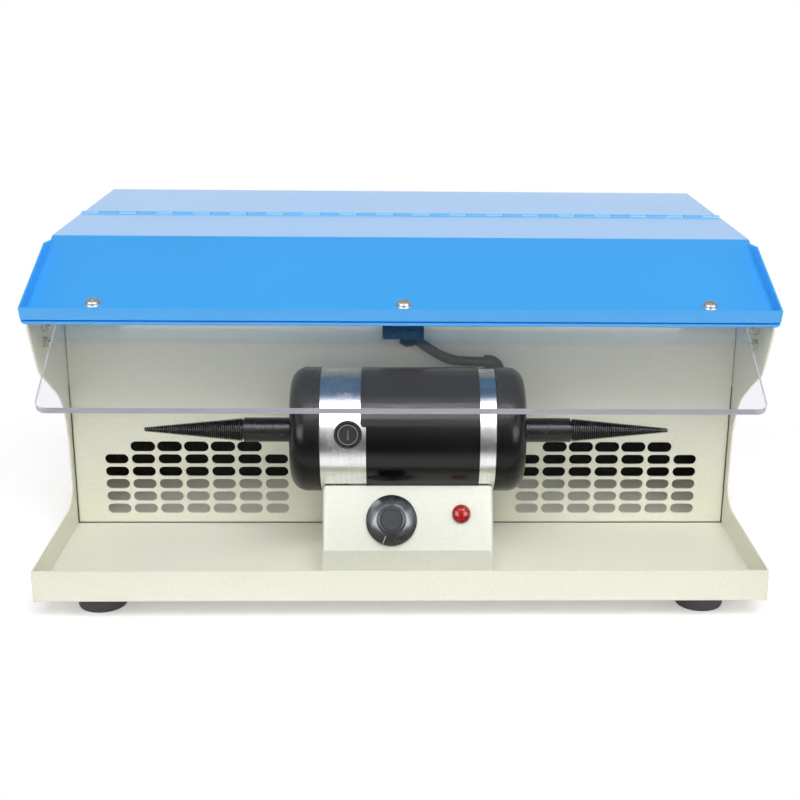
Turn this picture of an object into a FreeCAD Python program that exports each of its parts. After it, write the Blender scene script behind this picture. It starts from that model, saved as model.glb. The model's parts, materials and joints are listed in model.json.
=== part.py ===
"""Dental polishing lathe: a parametric document of separate pieces, in millimetres.

The cabinet stands on the plane Z = 0 with its open front towards -Y. The origin is the bottom centre of the
whole machine's box. Sheet-metal pieces are drawn in the cabinet frame, whose Y starts at the front of the
tray's lip. Lid pieces are drawn in the slope frame, which starts at the lid's bend with -Y running down the
slope. Motor pieces are drawn about the motor's axis, with +Z of their own frame along +X of the machine.
"""
import FreeCAD, Part
import math
import os
import re

import Sketcher

V = FreeCAD.Vector

# name, value, what it is; every length in millimetres and every angle in degrees
SIZES = (
    ("cab_width", 460, "cabinet over the side panels"),
    ("cab_depth", 331.6, "lip front to rear panel back"),
    ("sheet", 1.2, "sheet metal of cabinet and hood"),
    ("foot_height", 15, "underside of the tray above the bench"),
    ("lip_hem", 1.2, "lip and side walls below the tray's underside"),
    ("lip_height", 19.5, "tray lip above the tray's underside"),
    ("baffle_at", 125, "baffle front face behind the lip"),
    ("fit_gap", 0.2, "paint gap between fixed sheets"),
    ("run_gap", 0.4, "gap between moving and fixed sheets"),
    ("fold", 12, "width of the folded edges"),
    ("fold_round", 1.1, "outside radius of a fold"),
    ("waist_at", 116.5, "side panel: deepest place of the front edge"),
    ("waist_round", 19, "side panel: radius above the tray wall"),
    ("shoulder_drop", 115.3, "side panel: the shoulder's corner below the hood's top"),
    ("shoulder_round", 50, "side panel: radius of the shoulder"),
    ("brow_at", 54, "side panel: place of the brow's corner"),
    ("brow_drop", 74.7, "side panel: the brow's corner below the hood's top"),
    ("brow_round", 32, "side panel: radius of the brow"),
    ("nose_at", 34, "side panel: front corner under the lid"),
    ("fold_start", 62, "side panel: front end of the fold along its top"),
    ("hood_top", 220.5, "top face of the hood above the bench"),
    ("bend_at", 128, "lid bend behind the lip"),
    ("slope_length", 100, "length of the lid's slope"),
    ("slope_angle", 20, "slope of the lid below level"),
    ("hinge_at", 218, "hinge axis behind the lip"),
    ("hinge_rise", -0.9, "hinge axis above the hood's top face"),
    ("lid_overhang", 3, "lid beyond the side panels"),
    ("rim_height", 8, "turned-up rim above the slope"),
    ("rim_start", 5, "rim's foot below the bend"),
    ("rim_lead", 23, "full height of the rim below the bend"),
    ("cheek_at", 62, "front edge of the cover's cheeks"),
    ("cheek_drop", 68.5, "lower edge of the cover's cheeks below the hood's top"),
    ("cheek_round", 6, "lower front corner of the cover's cheeks"),
    ("boss_dia", 13, "pressed bosses round the cover bolts"),
    ("cover_drop", 22, "height of the cover's rear edge"),
    ("knuckle_dia", 4.4, "outside of the hinge knuckles"),
    ("knuckle_count", 35, "knuckles of both leaves together"),
    ("knuckle_gap", 0.3, "end gap between knuckles"),
    ("pin_dia", 2.0, "hinge pin"),
    ("pin_fit", 0.1, "pin clearance on the diameter"),
    ("leaf_thick", 1.0, "hinge leaf"),
    ("leaf_width", 14, "hinge leaf from the axis to its edge"),
    ("bar_width", 25, "stiffening bar under the lid's front"),
    ("bar_thick", 1.8, "stiffening bar"),
    ("bar_gap", 0.8, "gap between the lid and its bar"),
    ("shield_inset", 20.3, "shield's ends from the lid's ends"),
    ("shield_thick", 4.5, "splash shield"),
    ("shield_lap", 24, "flange of the shield under the lid"),
    ("shield_bend", 96.8, "shield bend below the lid's bend, along the slope"),
    ("shield_blade", 74.4, "shield below its bend"),
    ("shield_tilt", 7.7, "extra slope of the shield's blade"),
    ("shield_round", 6, "corner radius of the shield"),
    ("shield_bend_round", 9, "radius of the shield's heat bend"),
    ("lid_screw_at", 82.7, "lid screws below the bend, along the slope"),
    ("lid_screw_inset", 41, "outer lid screws from the lid's ends"),
    ("screw_dia", 4, "machine screws"),
    ("screw_play", 0.3, "clearance holes over the screw"),
    ("head_dia", 7.6, "pan heads"),
    ("head_high", 2.4, "pan heads"),
    ("washer_dia", 9.8, "washers under the lid screws"),
    ("washer_thick", 0.8, "washers under the lid screws"),
    ("nut_flats", 7, "hexagon nuts over the flats"),
    ("nut_high", 3.2, "hexagon nuts"),
    ("screw_end", 2, "thread standing out of a nut"),
    ("cover_bolt_at", 70, "cover bolts behind the lip"),
    ("cover_bolt_drop", 58.5, "lower cover bolt below the hood's top"),
    ("cover_bolt_rise", 11, "upper cover bolt above the lower one"),
    ("slot_pitch_wide", 18.5, "baffle slots, column to column"),
    ("slot_pitch_high", 9.2, "baffle slots, row to row"),
    ("slot_columns", 7, "baffle slots, columns on each side"),
    ("slot_rows", 5, "baffle slots, full rows"),
    ("slot_first_at", 88.3, "innermost column from the middle"),
    ("slot_first_level", 27.1, "lowest row above the bench"),
    ("slot_long", 16.2, "baffle slot"),
    ("slot_high", 7.1, "baffle slot"),
    ("crown_long", 17.2, "slots of the top row"),
    ("crown_high", 7.6, "slots of the top row"),
    ("motor_off", 3, "middle of the motor right of the cabinet's middle"),
    ("motor_at", 76.5, "motor axis behind the lip"),
    ("motor_level", 101.8, "motor axis above the bench"),
    ("motor_length", 152, "motor over its end caps"),
    ("tube_dia", 79, "motor tube"),
    ("tube_wall", 3.5, "motor tube"),
    ("end_cap_dia", 80, "motor end caps"),
    ("end_cap_long", 20, "motor end caps"),
    ("end_cap_round", 7, "rounded edge of the end caps"),
    ("end_cap_wall", 4, "motor end caps"),
    ("tube_lap", 8, "tube inside each end cap"),
    ("sleeve_thick", 0.5, "sleeve round the tube"),
    ("sleeve_left", -30.2, "sleeve's upper left edge from the motor's middle"),
    ("sleeve_step", 3.5, "step in the sleeve's left edge beside the brush cap"),
    ("sleeve_right", 45.8, "sleeve's right edge from the motor's middle"),
    ("brush_at", -38, "brushes from the motor's middle"),
    ("brush_angle", 14, "front brush above level"),
    ("sleeve_step_angle", 21, "step of the sleeve's left edge, below level in front"),
    ("brush_cap_dia", 17.8, "brush caps"),
    ("brush_cap_high", 3.4, "brush caps above the tube"),
    ("holder_dia", 13, "brush holders"),
    ("carbon_side", 7, "carbon brushes, square section"),
    ("carbon_long", 15, "carbon brushes"),
    ("brush_gap", 0.3, "between brush and commutator"),
    ("shaft_dia", 8, "motor shaft"),
    ("bearing_dia", 22, "ball bearings"),
    ("bearing_wide", 7, "ball bearings"),
    ("bearing_fit", 0.04, "shaft clearance in the bearings, on the diameter"),
    ("armature_dia", 61, "armature core"),
    ("armature_mid", 10, "middle of the armature from the motor's middle"),
    ("armature_long", 56, "armature core"),
    ("armature_slots", 12, "slots of the armature core"),
    ("magnet_gap", 1.0, "air gap between armature and magnets"),
    ("magnet_angle", 130, "arc of each magnet"),
    ("commutator_dia", 27, "commutator"),
    ("commutator_long", 20, "commutator"),
    ("coil_reach", 11, "coil ends beyond the armature core"),
    ("spindle_dia", 16, "plain part of the spindles"),
    ("spindle_plain", 31.6, "plain part of the spindles"),
    ("spindle_gap", 0.6, "between spindle and end cap"),
    ("spindle_socket", 26, "depth of the spindle's bore"),
    ("cone_base", 15.6, "tapered part, at its base"),
    ("cone_tip", 2.9, "tapered part, at its tip"),
    ("cone_long", 64.6, "tapered part"),
    ("grub_at", 8, "first grub screw from the spindle's inner end"),
    ("grub_pitch", 12, "between the grub screws"),
    ("box_off", 3.2, "middle of the control box right of the cabinet's middle"),
    ("box_width", 110, "control box"),
    ("box_at", 31, "control box front behind the lip"),
    ("box_back", 108, "control box back behind the lip"),
    ("box_knee", 35, "height of the bend in the box front"),
    ("box_panel_at", 47.8, "top edge of the box panel behind the lip"),
    ("box_top", 73.2, "top edge of the box above the bench"),
    ("box_sheet", 1.5, "control box sheet"),
    ("box_round", 3, "rounded top corners of the box"),
    ("knob_inset", 44.3, "knob from the box's left end"),
    ("knob_up", 19.4, "knob above the knee, along the panel"),
    ("knob_skirt", 32.8, "knob skirt"),
    ("knob_grip", 18.7, "knob grip"),
    ("knob_high", 16, "knob"),
    ("knob_gap", 0.5, "between knob and panel"),
    ("bush_dia", 9, "threaded bush of the potentiometer"),
    ("pot_dia", 24, "potentiometer body"),
    ("pot_deep", 11, "potentiometer body"),
    ("pot_shaft_dia", 6, "potentiometer shaft"),
    ("pot_fit", 0.1, "shaft clearance in the bush, on the diameter"),
    ("lamp_inset", 20.7, "lamp from the box's right end"),
    ("lamp_up", 23.6, "lamp above the knee, along the panel"),
    ("lamp_dia", 12, "lamp lens"),
    ("lamp_bore", 9.5, "lamp hole in the panel"),
    ("lamp_deep", 18, "lamp body behind the panel"),
    ("foot_dia", 33.4, "rubber feet"),
    ("foot_taper", 3, "feet narrower at the bench, on the diameter"),
    ("foot_inset", 37.2, "feet from the cabinet's sides"),
    ("foot_at", 28, "feet from the front and back edges"),
    ("foot_floor", 4, "rubber over the foot screws' heads"),
    ("foot_screw_long", 8, "foot screws under the head"),
    ("gland_width", 28, "gland block"),
    ("gland_deep", 14, "gland block"),
    ("gland_high", 38, "gland block"),
    ("gland_level", 152.3, "underside of the gland block"),
    ("gland_nut_dia", 16, "gland nut"),
    ("gland_nut_long", 9, "gland nut outside the block"),
    ("lead_dia", 6.6, "motor lead"),
    ("boot_dia", 9, "rubber boot on the motor"),
    ("boot_angle", 33, "boot behind the motor's top line"),
    ("boot_at", 54, "mouth of the boot from the cabinet's middle"),
    ("boot_round", 6, "centre-line radius of the boot"),
    ("boot_rise", 5.7, "lead's centre-line above the end cap"),
    ("filter_at", 213, "filter frame behind the lip"),
    ("filter_deep", 12, "filter frame"),
    ("filter_border", 11, "filter frame"),
    ("fan_side", 119.5, "fan housing"),
    ("fan_deep", 38, "fan housing"),
    ("fan_bore", 116, "fan duct"),
    ("fan_flange", 4, "fan flanges"),
    ("fan_hub", 40, "impeller hub"),
    ("fan_level", 118, "fan axis above the bench"),
    ("fan_hole_pitch", 105, "fan screws"),
    ("blade_count", 7, "impeller blades"),
    ("blade_thick", 1.6, "impeller blades"),
    ("blade_tip_gap", 1.0, "between blades and duct"),
    ("guard_wire", 1.9, "fan guard wire"),
    ("inlet_off", 165, "power inlet from the middle"),
    ("inlet_level", 52, "power inlet above the bench"),
    ("inlet_width", 50, "power inlet flange"),
    ("inlet_high", 26, "power inlet flange"),
    ("inlet_thick", 2.6, "power inlet flange"),
    ("inlet_deep", 20, "power inlet body behind the panel"),
    ("inlet_screw_pitch", 40, "power inlet screws"),
    ("pedestal_off", 10, "motor pedestal from the cabinet's middle"),
    ("pedestal_wide", 44, "motor pedestal, outside its legs"),
    ("pedestal_deep", 26, "motor pedestal"),
    ("pedestal_sheet", 2, "motor pedestal"),
    ("pedestal_top", 58, "motor pedestal's top plate above the bench"),
    ("pedestal_foot", 11, "motor pedestal's feet"),
    ("base_screw_long", 9, "base screws under the head"),
    ("board_high", 34, "control board"),
    ("board_long", 52, "control board"),
    ("board_thick", 1.6, "control board"),
    ("board_stand", 6, "control board's standoffs"),
)

# name, formula of the sizes above and of the lines before it, what it is
WORKED = (
    ("shield_drop", "sheet + bar_gap + bar_thick", "top of the shield's flange below the slope"),
    ("reach_front", "shield_blade*cos(slope_angle + shield_tilt) + shield_bend*cos(slope_angle) - bend_at"
                    " - shield_drop*sin(slope_angle)", "shield edge in front of the lip"),
    ("reach_back", "cab_depth + inlet_thick + head_high", "inlet screws behind the lip"),
    ("front", "(reach_front - reach_back)/2", "lip front in the machine's frame"),
    ("half_in", "cab_width/2 - sheet", "inner face of the side panels"),
    ("lid_width", "cab_width + lid_overhang*2", "lid"),
    ("shield_width", "lid_width - shield_inset*2", "splash shield"),
    ("lid_screw_off", "lid_width/2 - lid_screw_inset", "outer lid screws from the middle"),
    ("foot_off", "cab_width/2 - foot_inset", "feet from the middle"),
    ("floor", "foot_height + sheet", "top face of the tray floor"),
    ("wall_top", "foot_height + lip_height", "top of the lip and the tray walls"),
    ("under_top", "hood_top - sheet", "underside of the hood's top"),
    ("side_clear", "shield_drop + run_gap", "side panels below the lid's slope, square to it"),
    ("hinge_level", "hood_top + hinge_rise", "hinge axis"),
    ("side_top", "hinge_level - knuckle_dia/2 - run_gap", "top of the side panels, under the hinge"),
    ("cover_half", "lid_width/2", "outer face of the cover's cheeks from the middle"),
    ("cheek_level", "hood_top - cheek_drop", "lower edge of the cover's cheeks"),
    ("cover_bolt_level", "hood_top - cover_bolt_drop", "lower cover bolt"),
    ("shoulder_level", "hood_top - shoulder_drop", "side panel: height of the shoulder's corner"),
    ("brow_level", "hood_top - brow_drop", "side panel: height of the brow's corner"),
    ("hinge_slit", "knuckle_dia/2 + run_gap + 0.1", "sheet edges from the hinge axis"),
    ("knuckle_pitch", "lid_width/knuckle_count", "one knuckle"),
    ("lean", "atan((box_panel_at - box_at)/(box_top - box_knee))/1deg", "panel's lean from upright"),
    ("knob_off", "box_off - box_width/2 + knob_inset", "knob from the cabinet's middle"),
    ("lamp_off", "box_off + box_width/2 - lamp_inset", "lamp from the cabinet's middle"),
    ("tube_r", "tube_dia/2", "motor tube"),
    ("cap_face", "motor_length/2", "outer face of an end cap from the motor's middle"),
    ("cap_seam", "motor_length/2 - end_cap_long", "inner edge of an end cap from the motor's middle"),
    ("blade_tip_r", "fan_bore/2 - blade_tip_gap", "impeller"),
)

DOC = FreeCAD.newDocument("polishing_lathe")
CELLS = {}
NODES = []


def bound(text):
    """Return an expression in which every size name points to its sheet's cell."""
    return re.sub(r"\b[A-Za-z_]\w*", lambda word: CELLS.get(word.group(), word.group()), str(text))


def fill_sheets():
    """Write the driving sizes as plain numbers, and what is worked out from them as formulas."""
    sizes = DOC.addObject("Spreadsheet::Sheet", "Sizes")
    for row, (name, value, note) in enumerate(SIZES, 1):
        sizes.set("A%d" % row, note)
        sizes.set("B%d" % row, str(value))
        sizes.setAlias("B%d" % row, name)
        CELLS[name] = "Sizes." + name
    worked = DOC.addObject("Spreadsheet::Sheet", "Worked")
    for row, (name, formula, note) in enumerate(WORKED, 1):
        worked.set("A%d" % row, note)
        worked.set("B%d" % row, "=" + bound(formula))
        worked.setAlias("B%d" % row, name)
        CELLS[name] = name
    for name, formula, note in WORKED:
        CELLS[name] = "Worked." + name
    DOC.recompute()


def number(text):
    """Return the value that an expression of the sizes has now."""
    value = DOC.getObject("Worked").evalExpression(bound(text))
    return float(getattr(value, "Value", value))


def place(thing, x, y, z, axis=V(1, 0, 0), angle="0"):
    """Bind the place of a body or a link to expressions, turned by an angle about an axis."""
    turn = FreeCAD.Rotation(axis, number(angle))
    thing.Placement = FreeCAD.Placement(V(number(x), number(y), number(z)), turn)
    for letter, text in zip("xyz", (x, y, z)):
        thing.setExpression("Placement.Base." + letter, bound(text))
    if str(angle) != "0":
        thing.setExpression("Placement.Rotation.Angle", bound(angle))
    return thing


def keep(thing, label):
    """Count a document object as one of the machine's pieces."""
    thing.Label = label
    NODES.append(thing)
    return thing


def body(name):
    """Start an empty body."""
    return DOC.addObject("PartDesign::Body", name)


def cabinet(thing):
    """Place a piece that is drawn in the cabinet frame."""
    return place(thing, "0", "front", "0")


def slope(thing):
    """Place a piece that is drawn in the slope frame."""
    return place(thing, "0", "front + bend_at", "hood_top", V(1, 0, 0), "slope_angle")


def motor(thing):
    """Place a piece that is drawn about the motor's axis."""
    return place(thing, "motor_off", "front + motor_at", "motor_level", V(0, 1, 0), "90")


def panel_spot(off, up, out="0"):
    """Return the place of a point on the box panel: across, up along it and out of it."""
    return (off,
            "front + box_at + (%s)*sin(lean) - (%s)*cos(lean)" % (up, out),
            "box_knee + (%s)*cos(lean) + (%s)*sin(lean)" % (up, out))


def armature(thing):
    """Place a piece that is drawn about the middle of the armature."""
    return place(thing, "motor_off + armature_mid", "front + motor_at", "motor_level", V(0, 1, 0), "90")


def on_panel(thing, off, up):
    """Place a piece whose own +Z stands square out of the box panel."""
    return place(thing, *panel_spot(off, up), V(1, 0, 0), "90 - lean")


def slope_spot(off, down, out):
    """Return the place of a point of the lid: across, down its slope and out of it."""
    return (off,
            "front + bend_at - (%s)*cos(slope_angle) - (%s)*sin(slope_angle)" % (down, out),
            "hood_top - (%s)*sin(slope_angle) + (%s)*cos(slope_angle)" % (down, out))


def on_fan(thing):
    """Place a piece whose +Z runs forwards along the fan's axis from the rear panel's inner face."""
    return place(thing, "0", "front + cab_depth - sheet", "fan_level", V(1, 0, 0), "90")


def origin(owner, role):
    """Return a plane or an axis of a body's origin."""
    return next(item for item in owner.Origin.OriginFeatures if item.Role == role)


def sketch(owner, plane, at="0"):
    """Start a sketch on an origin plane, moved along its normal."""
    drawing = owner.newObject("Sketcher::SketchObject", "Sketch")
    drawing.AttachmentSupport = [(origin(owner, plane + "_Plane"), "")]
    drawing.MapMode = "FlatFace"
    if at != "0":
        drawing.setExpression("AttachmentOffset.Base.z", bound(at))
    return drawing


def hold(drawing, kind, text, *where):
    """Add a constraint whose value follows an expression."""
    index = drawing.addConstraint(Sketcher.Constraint(kind, *where, number(text)))
    drawing.setExpression("Constraints[%d]" % index, bound(text))


def pin(drawing, edge, point, x, y):
    """Hold one point of an edge at a place given by two expressions."""
    hold(drawing, "DistanceX", x, -1, 1, edge, point)
    hold(drawing, "DistanceY", y, -1, 1, edge, point)


def outline(drawing, corners):
    """Draw a closed outline of straight edges through corners given by expressions."""
    spots = [V(number(x), number(y), 0) for x, y in corners]
    edges = [drawing.addGeometry(Part.LineSegment(a, b), False)
             for a, b in zip(spots, spots[1:] + spots[:1])]
    for edge, after in zip(edges, edges[1:] + edges[:1]):
        drawing.addConstraint(Sketcher.Constraint("Coincident", edge, 2, after, 1))
    for edge, (x, y) in zip(edges, corners):
        pin(drawing, edge, 1, x, y)
    return drawing


def box_outline(drawing, left, right, low, high):
    """Draw a rectangle between four expressions."""
    return outline(drawing, ((left, low), (right, low), (right, high), (left, high)))


def ring(drawing, x, y, dia):
    """Draw a circle."""
    centre = V(number(x), number(y), 0)
    edge = drawing.addGeometry(Part.Circle(centre, V(0, 0, 1), number(dia) / 2), False)
    pin(drawing, edge, 3, x, y)
    hold(drawing, "Radius", "(%s)/2" % dia, edge)
    return drawing


def stadium(drawing, x, y, long, high):
    """Draw a slot with round ends, its length along the sketch's first axis."""
    half = (number(long) - number(high)) / 2
    radius = number(high) / 2
    cx, cy = number(x), number(y)
    up = V(0, 0, 1)
    right = Part.ArcOfCircle(Part.Circle(V(cx + half, cy, 0), up, radius), -math.pi / 2, math.pi / 2)
    left = Part.ArcOfCircle(Part.Circle(V(cx - half, cy, 0), up, radius), math.pi / 2, 3 * math.pi / 2)
    top = Part.LineSegment(V(cx + half, cy + radius, 0), V(cx - half, cy + radius, 0))
    low = Part.LineSegment(V(cx - half, cy - radius, 0), V(cx + half, cy - radius, 0))
    a, b, c, d = (drawing.addGeometry(item, False) for item in (right, top, left, low))
    for one, end, other, start in ((a, 2, b, 1), (b, 2, c, 1), (c, 2, d, 1), (d, 2, a, 1)):
        drawing.addConstraint(Sketcher.Constraint("Tangent", one, end, other, start))
    drawing.addConstraint(Sketcher.Constraint("Equal", a, c))
    pin(drawing, a, 3, "%s + (%s - %s)/2" % (x, long, high), y)
    pin(drawing, c, 3, "%s - (%s - %s)/2" % (x, long, high), y)
    hold(drawing, "Radius", "(%s)/2" % high, a)
    return drawing


def pad(owner, drawing, length, centred=False, back=False):
    """Pad a sketch along its normal."""
    feature = owner.newObject("PartDesign::Pad", "Pad")
    feature.Profile = drawing
    feature.setExpression("Length", bound(length))
    feature.Midplane = centred
    feature.Reversed = back
    return feature


def pocket(owner, drawing, length=None, centred=False, back=False):
    """Cut a sketch out of a body, against its normal or, turned back, along it."""
    feature = owner.newObject("PartDesign::Pocket", "Pocket")
    feature.Profile = drawing
    feature.Midplane = centred
    feature.Reversed = back
    if length is None:
        feature.Type = 1
    else:
        feature.setExpression("Length", bound(length))
    return feature


def turned(owner, corners, angle="360"):
    """Revolve an outline given as radius and height about the body's own Z."""
    drawing = outline(sketch(owner, "XZ"), corners)
    feature = owner.newObject("PartDesign::Revolution", "Revolution")
    feature.Profile = drawing
    feature.ReferenceAxis = (drawing, ["V_Axis"])
    feature.setExpression("Angle", bound(angle))
    return feature


def repeat_around(owner, feature, count):
    """Repeat a feature evenly about the body's own Z."""
    pattern = owner.newObject("PartDesign::PolarPattern", "PolarPattern")
    pattern.Originals = [feature]
    pattern.Axis = (origin(owner, "Z_Axis"), [""])
    pattern.Angle = 360
    pattern.setExpression("Occurrences", bound(count))
    owner.Tip = pattern
    return pattern


def mirror(owner, features, plane="YZ"):
    """Mirror features of a body in one of its origin planes."""
    copy = owner.newObject("PartDesign::Mirrored", "Mirrored")
    copy.Originals = features
    copy.MirrorPlane = (origin(owner, plane + "_Plane"), [""])
    owner.Tip = copy
    return copy


def edges_where(owner, wanted):
    """Name the edges of a body's last feature for which a test holds."""
    DOC.recompute()
    return ["Edge%d" % (i + 1) for i, edge in enumerate(owner.Tip.Shape.Edges) if wanted(edge)]


def along(direction, *spots):
    """Return a test for straight edges in one direction that pass a spot; None in a spot fits all."""
    def test(edge):
        ends = [vertex.Point for vertex in edge.Vertexes]
        if len(ends) != 2 or (ends[1] - ends[0]).Length < 1e-6:
            return False
        if abs(abs((ends[1] - ends[0]).normalize() * direction) - 1) > 1e-6:
            return False
        middle = (ends[0] + ends[1]) / 2
        return any(all(want is None or abs(want - have) < 0.02 for want, have in zip(spot, middle))
                   for spot in spots)
    return test


def round_edges(owner, radius, wanted):
    """Fillet the edges of a body for which a test holds."""
    names = edges_where(owner, wanted)
    if not names:
        raise RuntimeError("no edge to round on " + owner.Name)
    feature = owner.newObject("PartDesign::Fillet", "Fillet")
    feature.Base = (feature.BaseFeature or owner.Tip, names)
    feature.setExpression("Radius", bound(radius))
    owner.Tip = feature
    return feature


def group(label, unit, spots):
    """Make one node of several copies of a unit; a spot is x, y, z and, if turned, axis and angle."""
    copies = []
    for index, spot in enumerate(spots):
        copy = DOC.addObject("App::Link", "%s_%d" % (label, index))
        copy.LinkedObject = unit
        copies.append(place(copy, *spot))
    bundle = DOC.addObject("Part::Compound", label)
    bundle.Links = copies
    return keep(bundle, label)


def pan_screw(name, length):
    """A pan-head machine screw: its head stands on Z = 0 and its shank points down."""
    unit = body(name)
    turned(unit, (("0", "-(%s)" % length), ("screw_dia/2 - 0.4", "-(%s)" % length),
                  ("screw_dia/2", "-(%s) + 0.4" % length), ("screw_dia/2", "0"), ("head_dia/2", "0"),
                  ("head_dia/2", "head_high*0.45"), ("head_dia/2*0.78", "head_high*0.85"),
                  ("head_dia/2*0.4", "head_high"), ("0", "head_high")))
    return unit


def hex_nut(name, high="nut_high"):
    """A hexagon nut on Z = 0 that fits round a screw."""
    unit = body(name)
    radius = "nut_flats/2/cos(30)"
    corners = [("%s*cos(%d)" % (radius, 60 * i), "%s*sin(%d)" % (radius, 60 * i)) for i in range(6)]
    pad(unit, outline(sketch(unit, "XY"), corners), high)
    pocket(unit, ring(sketch(unit, "XY"), "0", "0", "screw_dia"), back=True)
    return unit


# ---------------------------------------------------------------- cabinet

def base_tray():
    """Floor with a turned-up lip in front and a turned-up edge at the back."""
    tray = cabinet(body("BaseTray"))
    pad(tray, outline(sketch(tray, "YZ"), (
        ("0", "foot_height - lip_hem"), ("sheet", "foot_height - lip_hem"), ("sheet", "foot_height"),
        ("cab_depth - sheet", "foot_height"),
        ("cab_depth - sheet", "foot_height + fold"), ("cab_depth - sheet*2", "foot_height + fold"),
        ("cab_depth - sheet*2", "floor"), ("sheet", "floor"), ("sheet", "wall_top"), ("0", "wall_top"))),
        "half_in*2", centred=True)
    for row in (foot_rows(), base_screw_spots()):
        drawing = sketch(tray, "XY", "floor")
        for x, y in row:
            ring(drawing, x, y, "screw_dia")
        pocket(tray, drawing, "sheet*2")
    round_edges(tray, "fold_round", along(V(1, 0, 0), (None, 0, number("foot_height - lip_hem"))))
    keep(tray, "base_tray")


def foot_rows():
    """Places of the feet in the cabinet frame."""
    return [(x, y) for x in ("-foot_off", "foot_off") for y in ("foot_at", "cab_depth - foot_at")]


def base_screw_spots():
    """Places of the screws that hold the pedestal and the control box on the tray."""
    feet = [("pedestal_off + %s*(pedestal_wide/2 + pedestal_foot/2)" % side,
             "motor_at + %s*pedestal_deep/4" % way) for side in ("-1", "1") for way in ("-1", "1")]
    box = [("box_off + %s*(box_width/2 - box_sheet - fold/2)" % side, y)
           for side in ("-1", "1") for y in ("box_at + fold", "box_back - fold")]
    return feet + box


def side_corners():
    """Outline of a side panel in the cabinet's YZ plane."""
    return (
        ("0", "foot_height - lip_hem"), ("0", "wall_top"), ("waist_at", "wall_top"),
        ("waist_at", "shoulder_level"),
        ("brow_at", "brow_level"), ("nose_at", slope_line("nose_at", "side_clear")),
        (level_meets("side_top", "side_clear"), "side_top"), ("cab_depth", "side_top"),
        ("cab_depth", "foot_height - lip_hem"))


def slope_line(at, below):
    """Height of a line below the lid's slope, square to it, at a place behind the lip."""
    return "hood_top - (bend_at - (%s))*tan(slope_angle) - (%s)/cos(slope_angle)" % (at, below)


def level_meets(level, below):
    """Place where a line below the slope reaches a level."""
    return "bend_at + ((%s) - hood_top + (%s)/cos(slope_angle))/tan(slope_angle)" % (level, below)


def side_panel(side, label):
    """A side panel with its waved front edge and an inward fold along the top."""
    panel = cabinet(body("SidePanel"))
    at = "half_in" if side > 0 else "-cab_width/2"
    pad(panel, outline(sketch(panel, "YZ", at), side_corners()), "sheet")
    folded = "half_in - fold" if side > 0 else "-half_in"
    bend = level_meets("side_top", "side_clear")
    bend_in = level_meets("side_top - sheet", "side_clear + sheet")
    strip = outline(sketch(panel, "YZ", folded), (
        ("fold_start", slope_line("fold_start", "side_clear")), (bend, "side_top"),
        ("cab_depth - sheet*2", "side_top"), ("cab_depth - sheet*2", "side_top - sheet"),
        (bend_in, "side_top - sheet"), ("fold_start", slope_line("fold_start", "side_clear + sheet"))))
    pad(panel, strip, "fold")
    holes = sketch(panel, "YZ", at)
    for level in cover_bolt_levels():
        ring(holes, "cover_bolt_at", level, "screw_dia + screw_play")
    pocket(panel, holes, "sheet*2", back=True)
    for radius, y, z in (("waist_round", "waist_at", "wall_top"),
                         ("shoulder_round", "waist_at", "shoulder_level"),
                         ("brow_round", "brow_at", "brow_level")):
        round_edges(panel, radius, along(V(1, 0, 0), (None, number(y), number(z))))
    keep(panel, label)


def cover_bolt_levels():
    """Heights of the bolts that join the cover's cheeks to the side panels."""
    return "cover_bolt_level", "cover_bolt_level + cover_bolt_rise"


def baffle_panel():
    """Upright sheet behind the motor with two fields of round-ended slots and folded edges."""
    baffle = cabinet(body("Baffle"))
    top = slope_line("baffle_at", "side_clear + sheet") + " - fit_gap"
    wide = "half_in - fit_gap"
    pad(baffle, box_outline(sketch(baffle, "XZ", "-baffle_at"), "-(%s)" % wide, wide, "floor", top),
        "sheet", back=True)
    for side in ("1", "-1"):
        inner, outer = "%s*(%s - sheet)" % (side, wide), "%s*(%s)" % (side, wide)
        pad(baffle, box_outline(sketch(baffle, "XZ", "-baffle_at"), inner, outer, "floor", top),
            "fold", back=True)
    for low, high in (("floor", "floor + sheet"), (top + " - sheet", top)):
        pad(baffle, box_outline(sketch(baffle, "XZ", "-baffle_at"), "-(%s)" % wide, wide, low, high),
            "fold", back=True)
    face, end = number("baffle_at"), number(wide)
    round_edges(baffle, "fold_round", lambda edge:
                along(V(1, 0, 0), (None, face, number("floor")))(edge)
                or along(V(0, 0, 1), (end, face, None), (-end, face, None))(edge))
    slot = stadium(sketch(baffle, "XZ", "-baffle_at"), "slot_first_at", "slot_first_level", "slot_long",
                   "slot_high")
    first = pocket(baffle, slot, "sheet*3", centred=True)
    multiply(baffle, first, "slot_columns", "slot_rows")
    crown = stadium(sketch(baffle, "XZ", "-baffle_at"), "slot_first_at + slot_pitch_wide",
                    "slot_first_level + slot_rows*slot_pitch_high", "crown_long", "crown_high")
    second = pocket(baffle, crown, "sheet*3", centred=True)
    multiply(baffle, second, "slot_columns - 2", "1")
    nipple = sketch(baffle, "XZ", "-baffle_at")
    ring(nipple, "0", "gland_level + gland_high*0.6", "lead_dia*1.5")
    pocket(baffle, nipple, "sheet*3", centred=True)
    keep(baffle, "baffle_panel")


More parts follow.
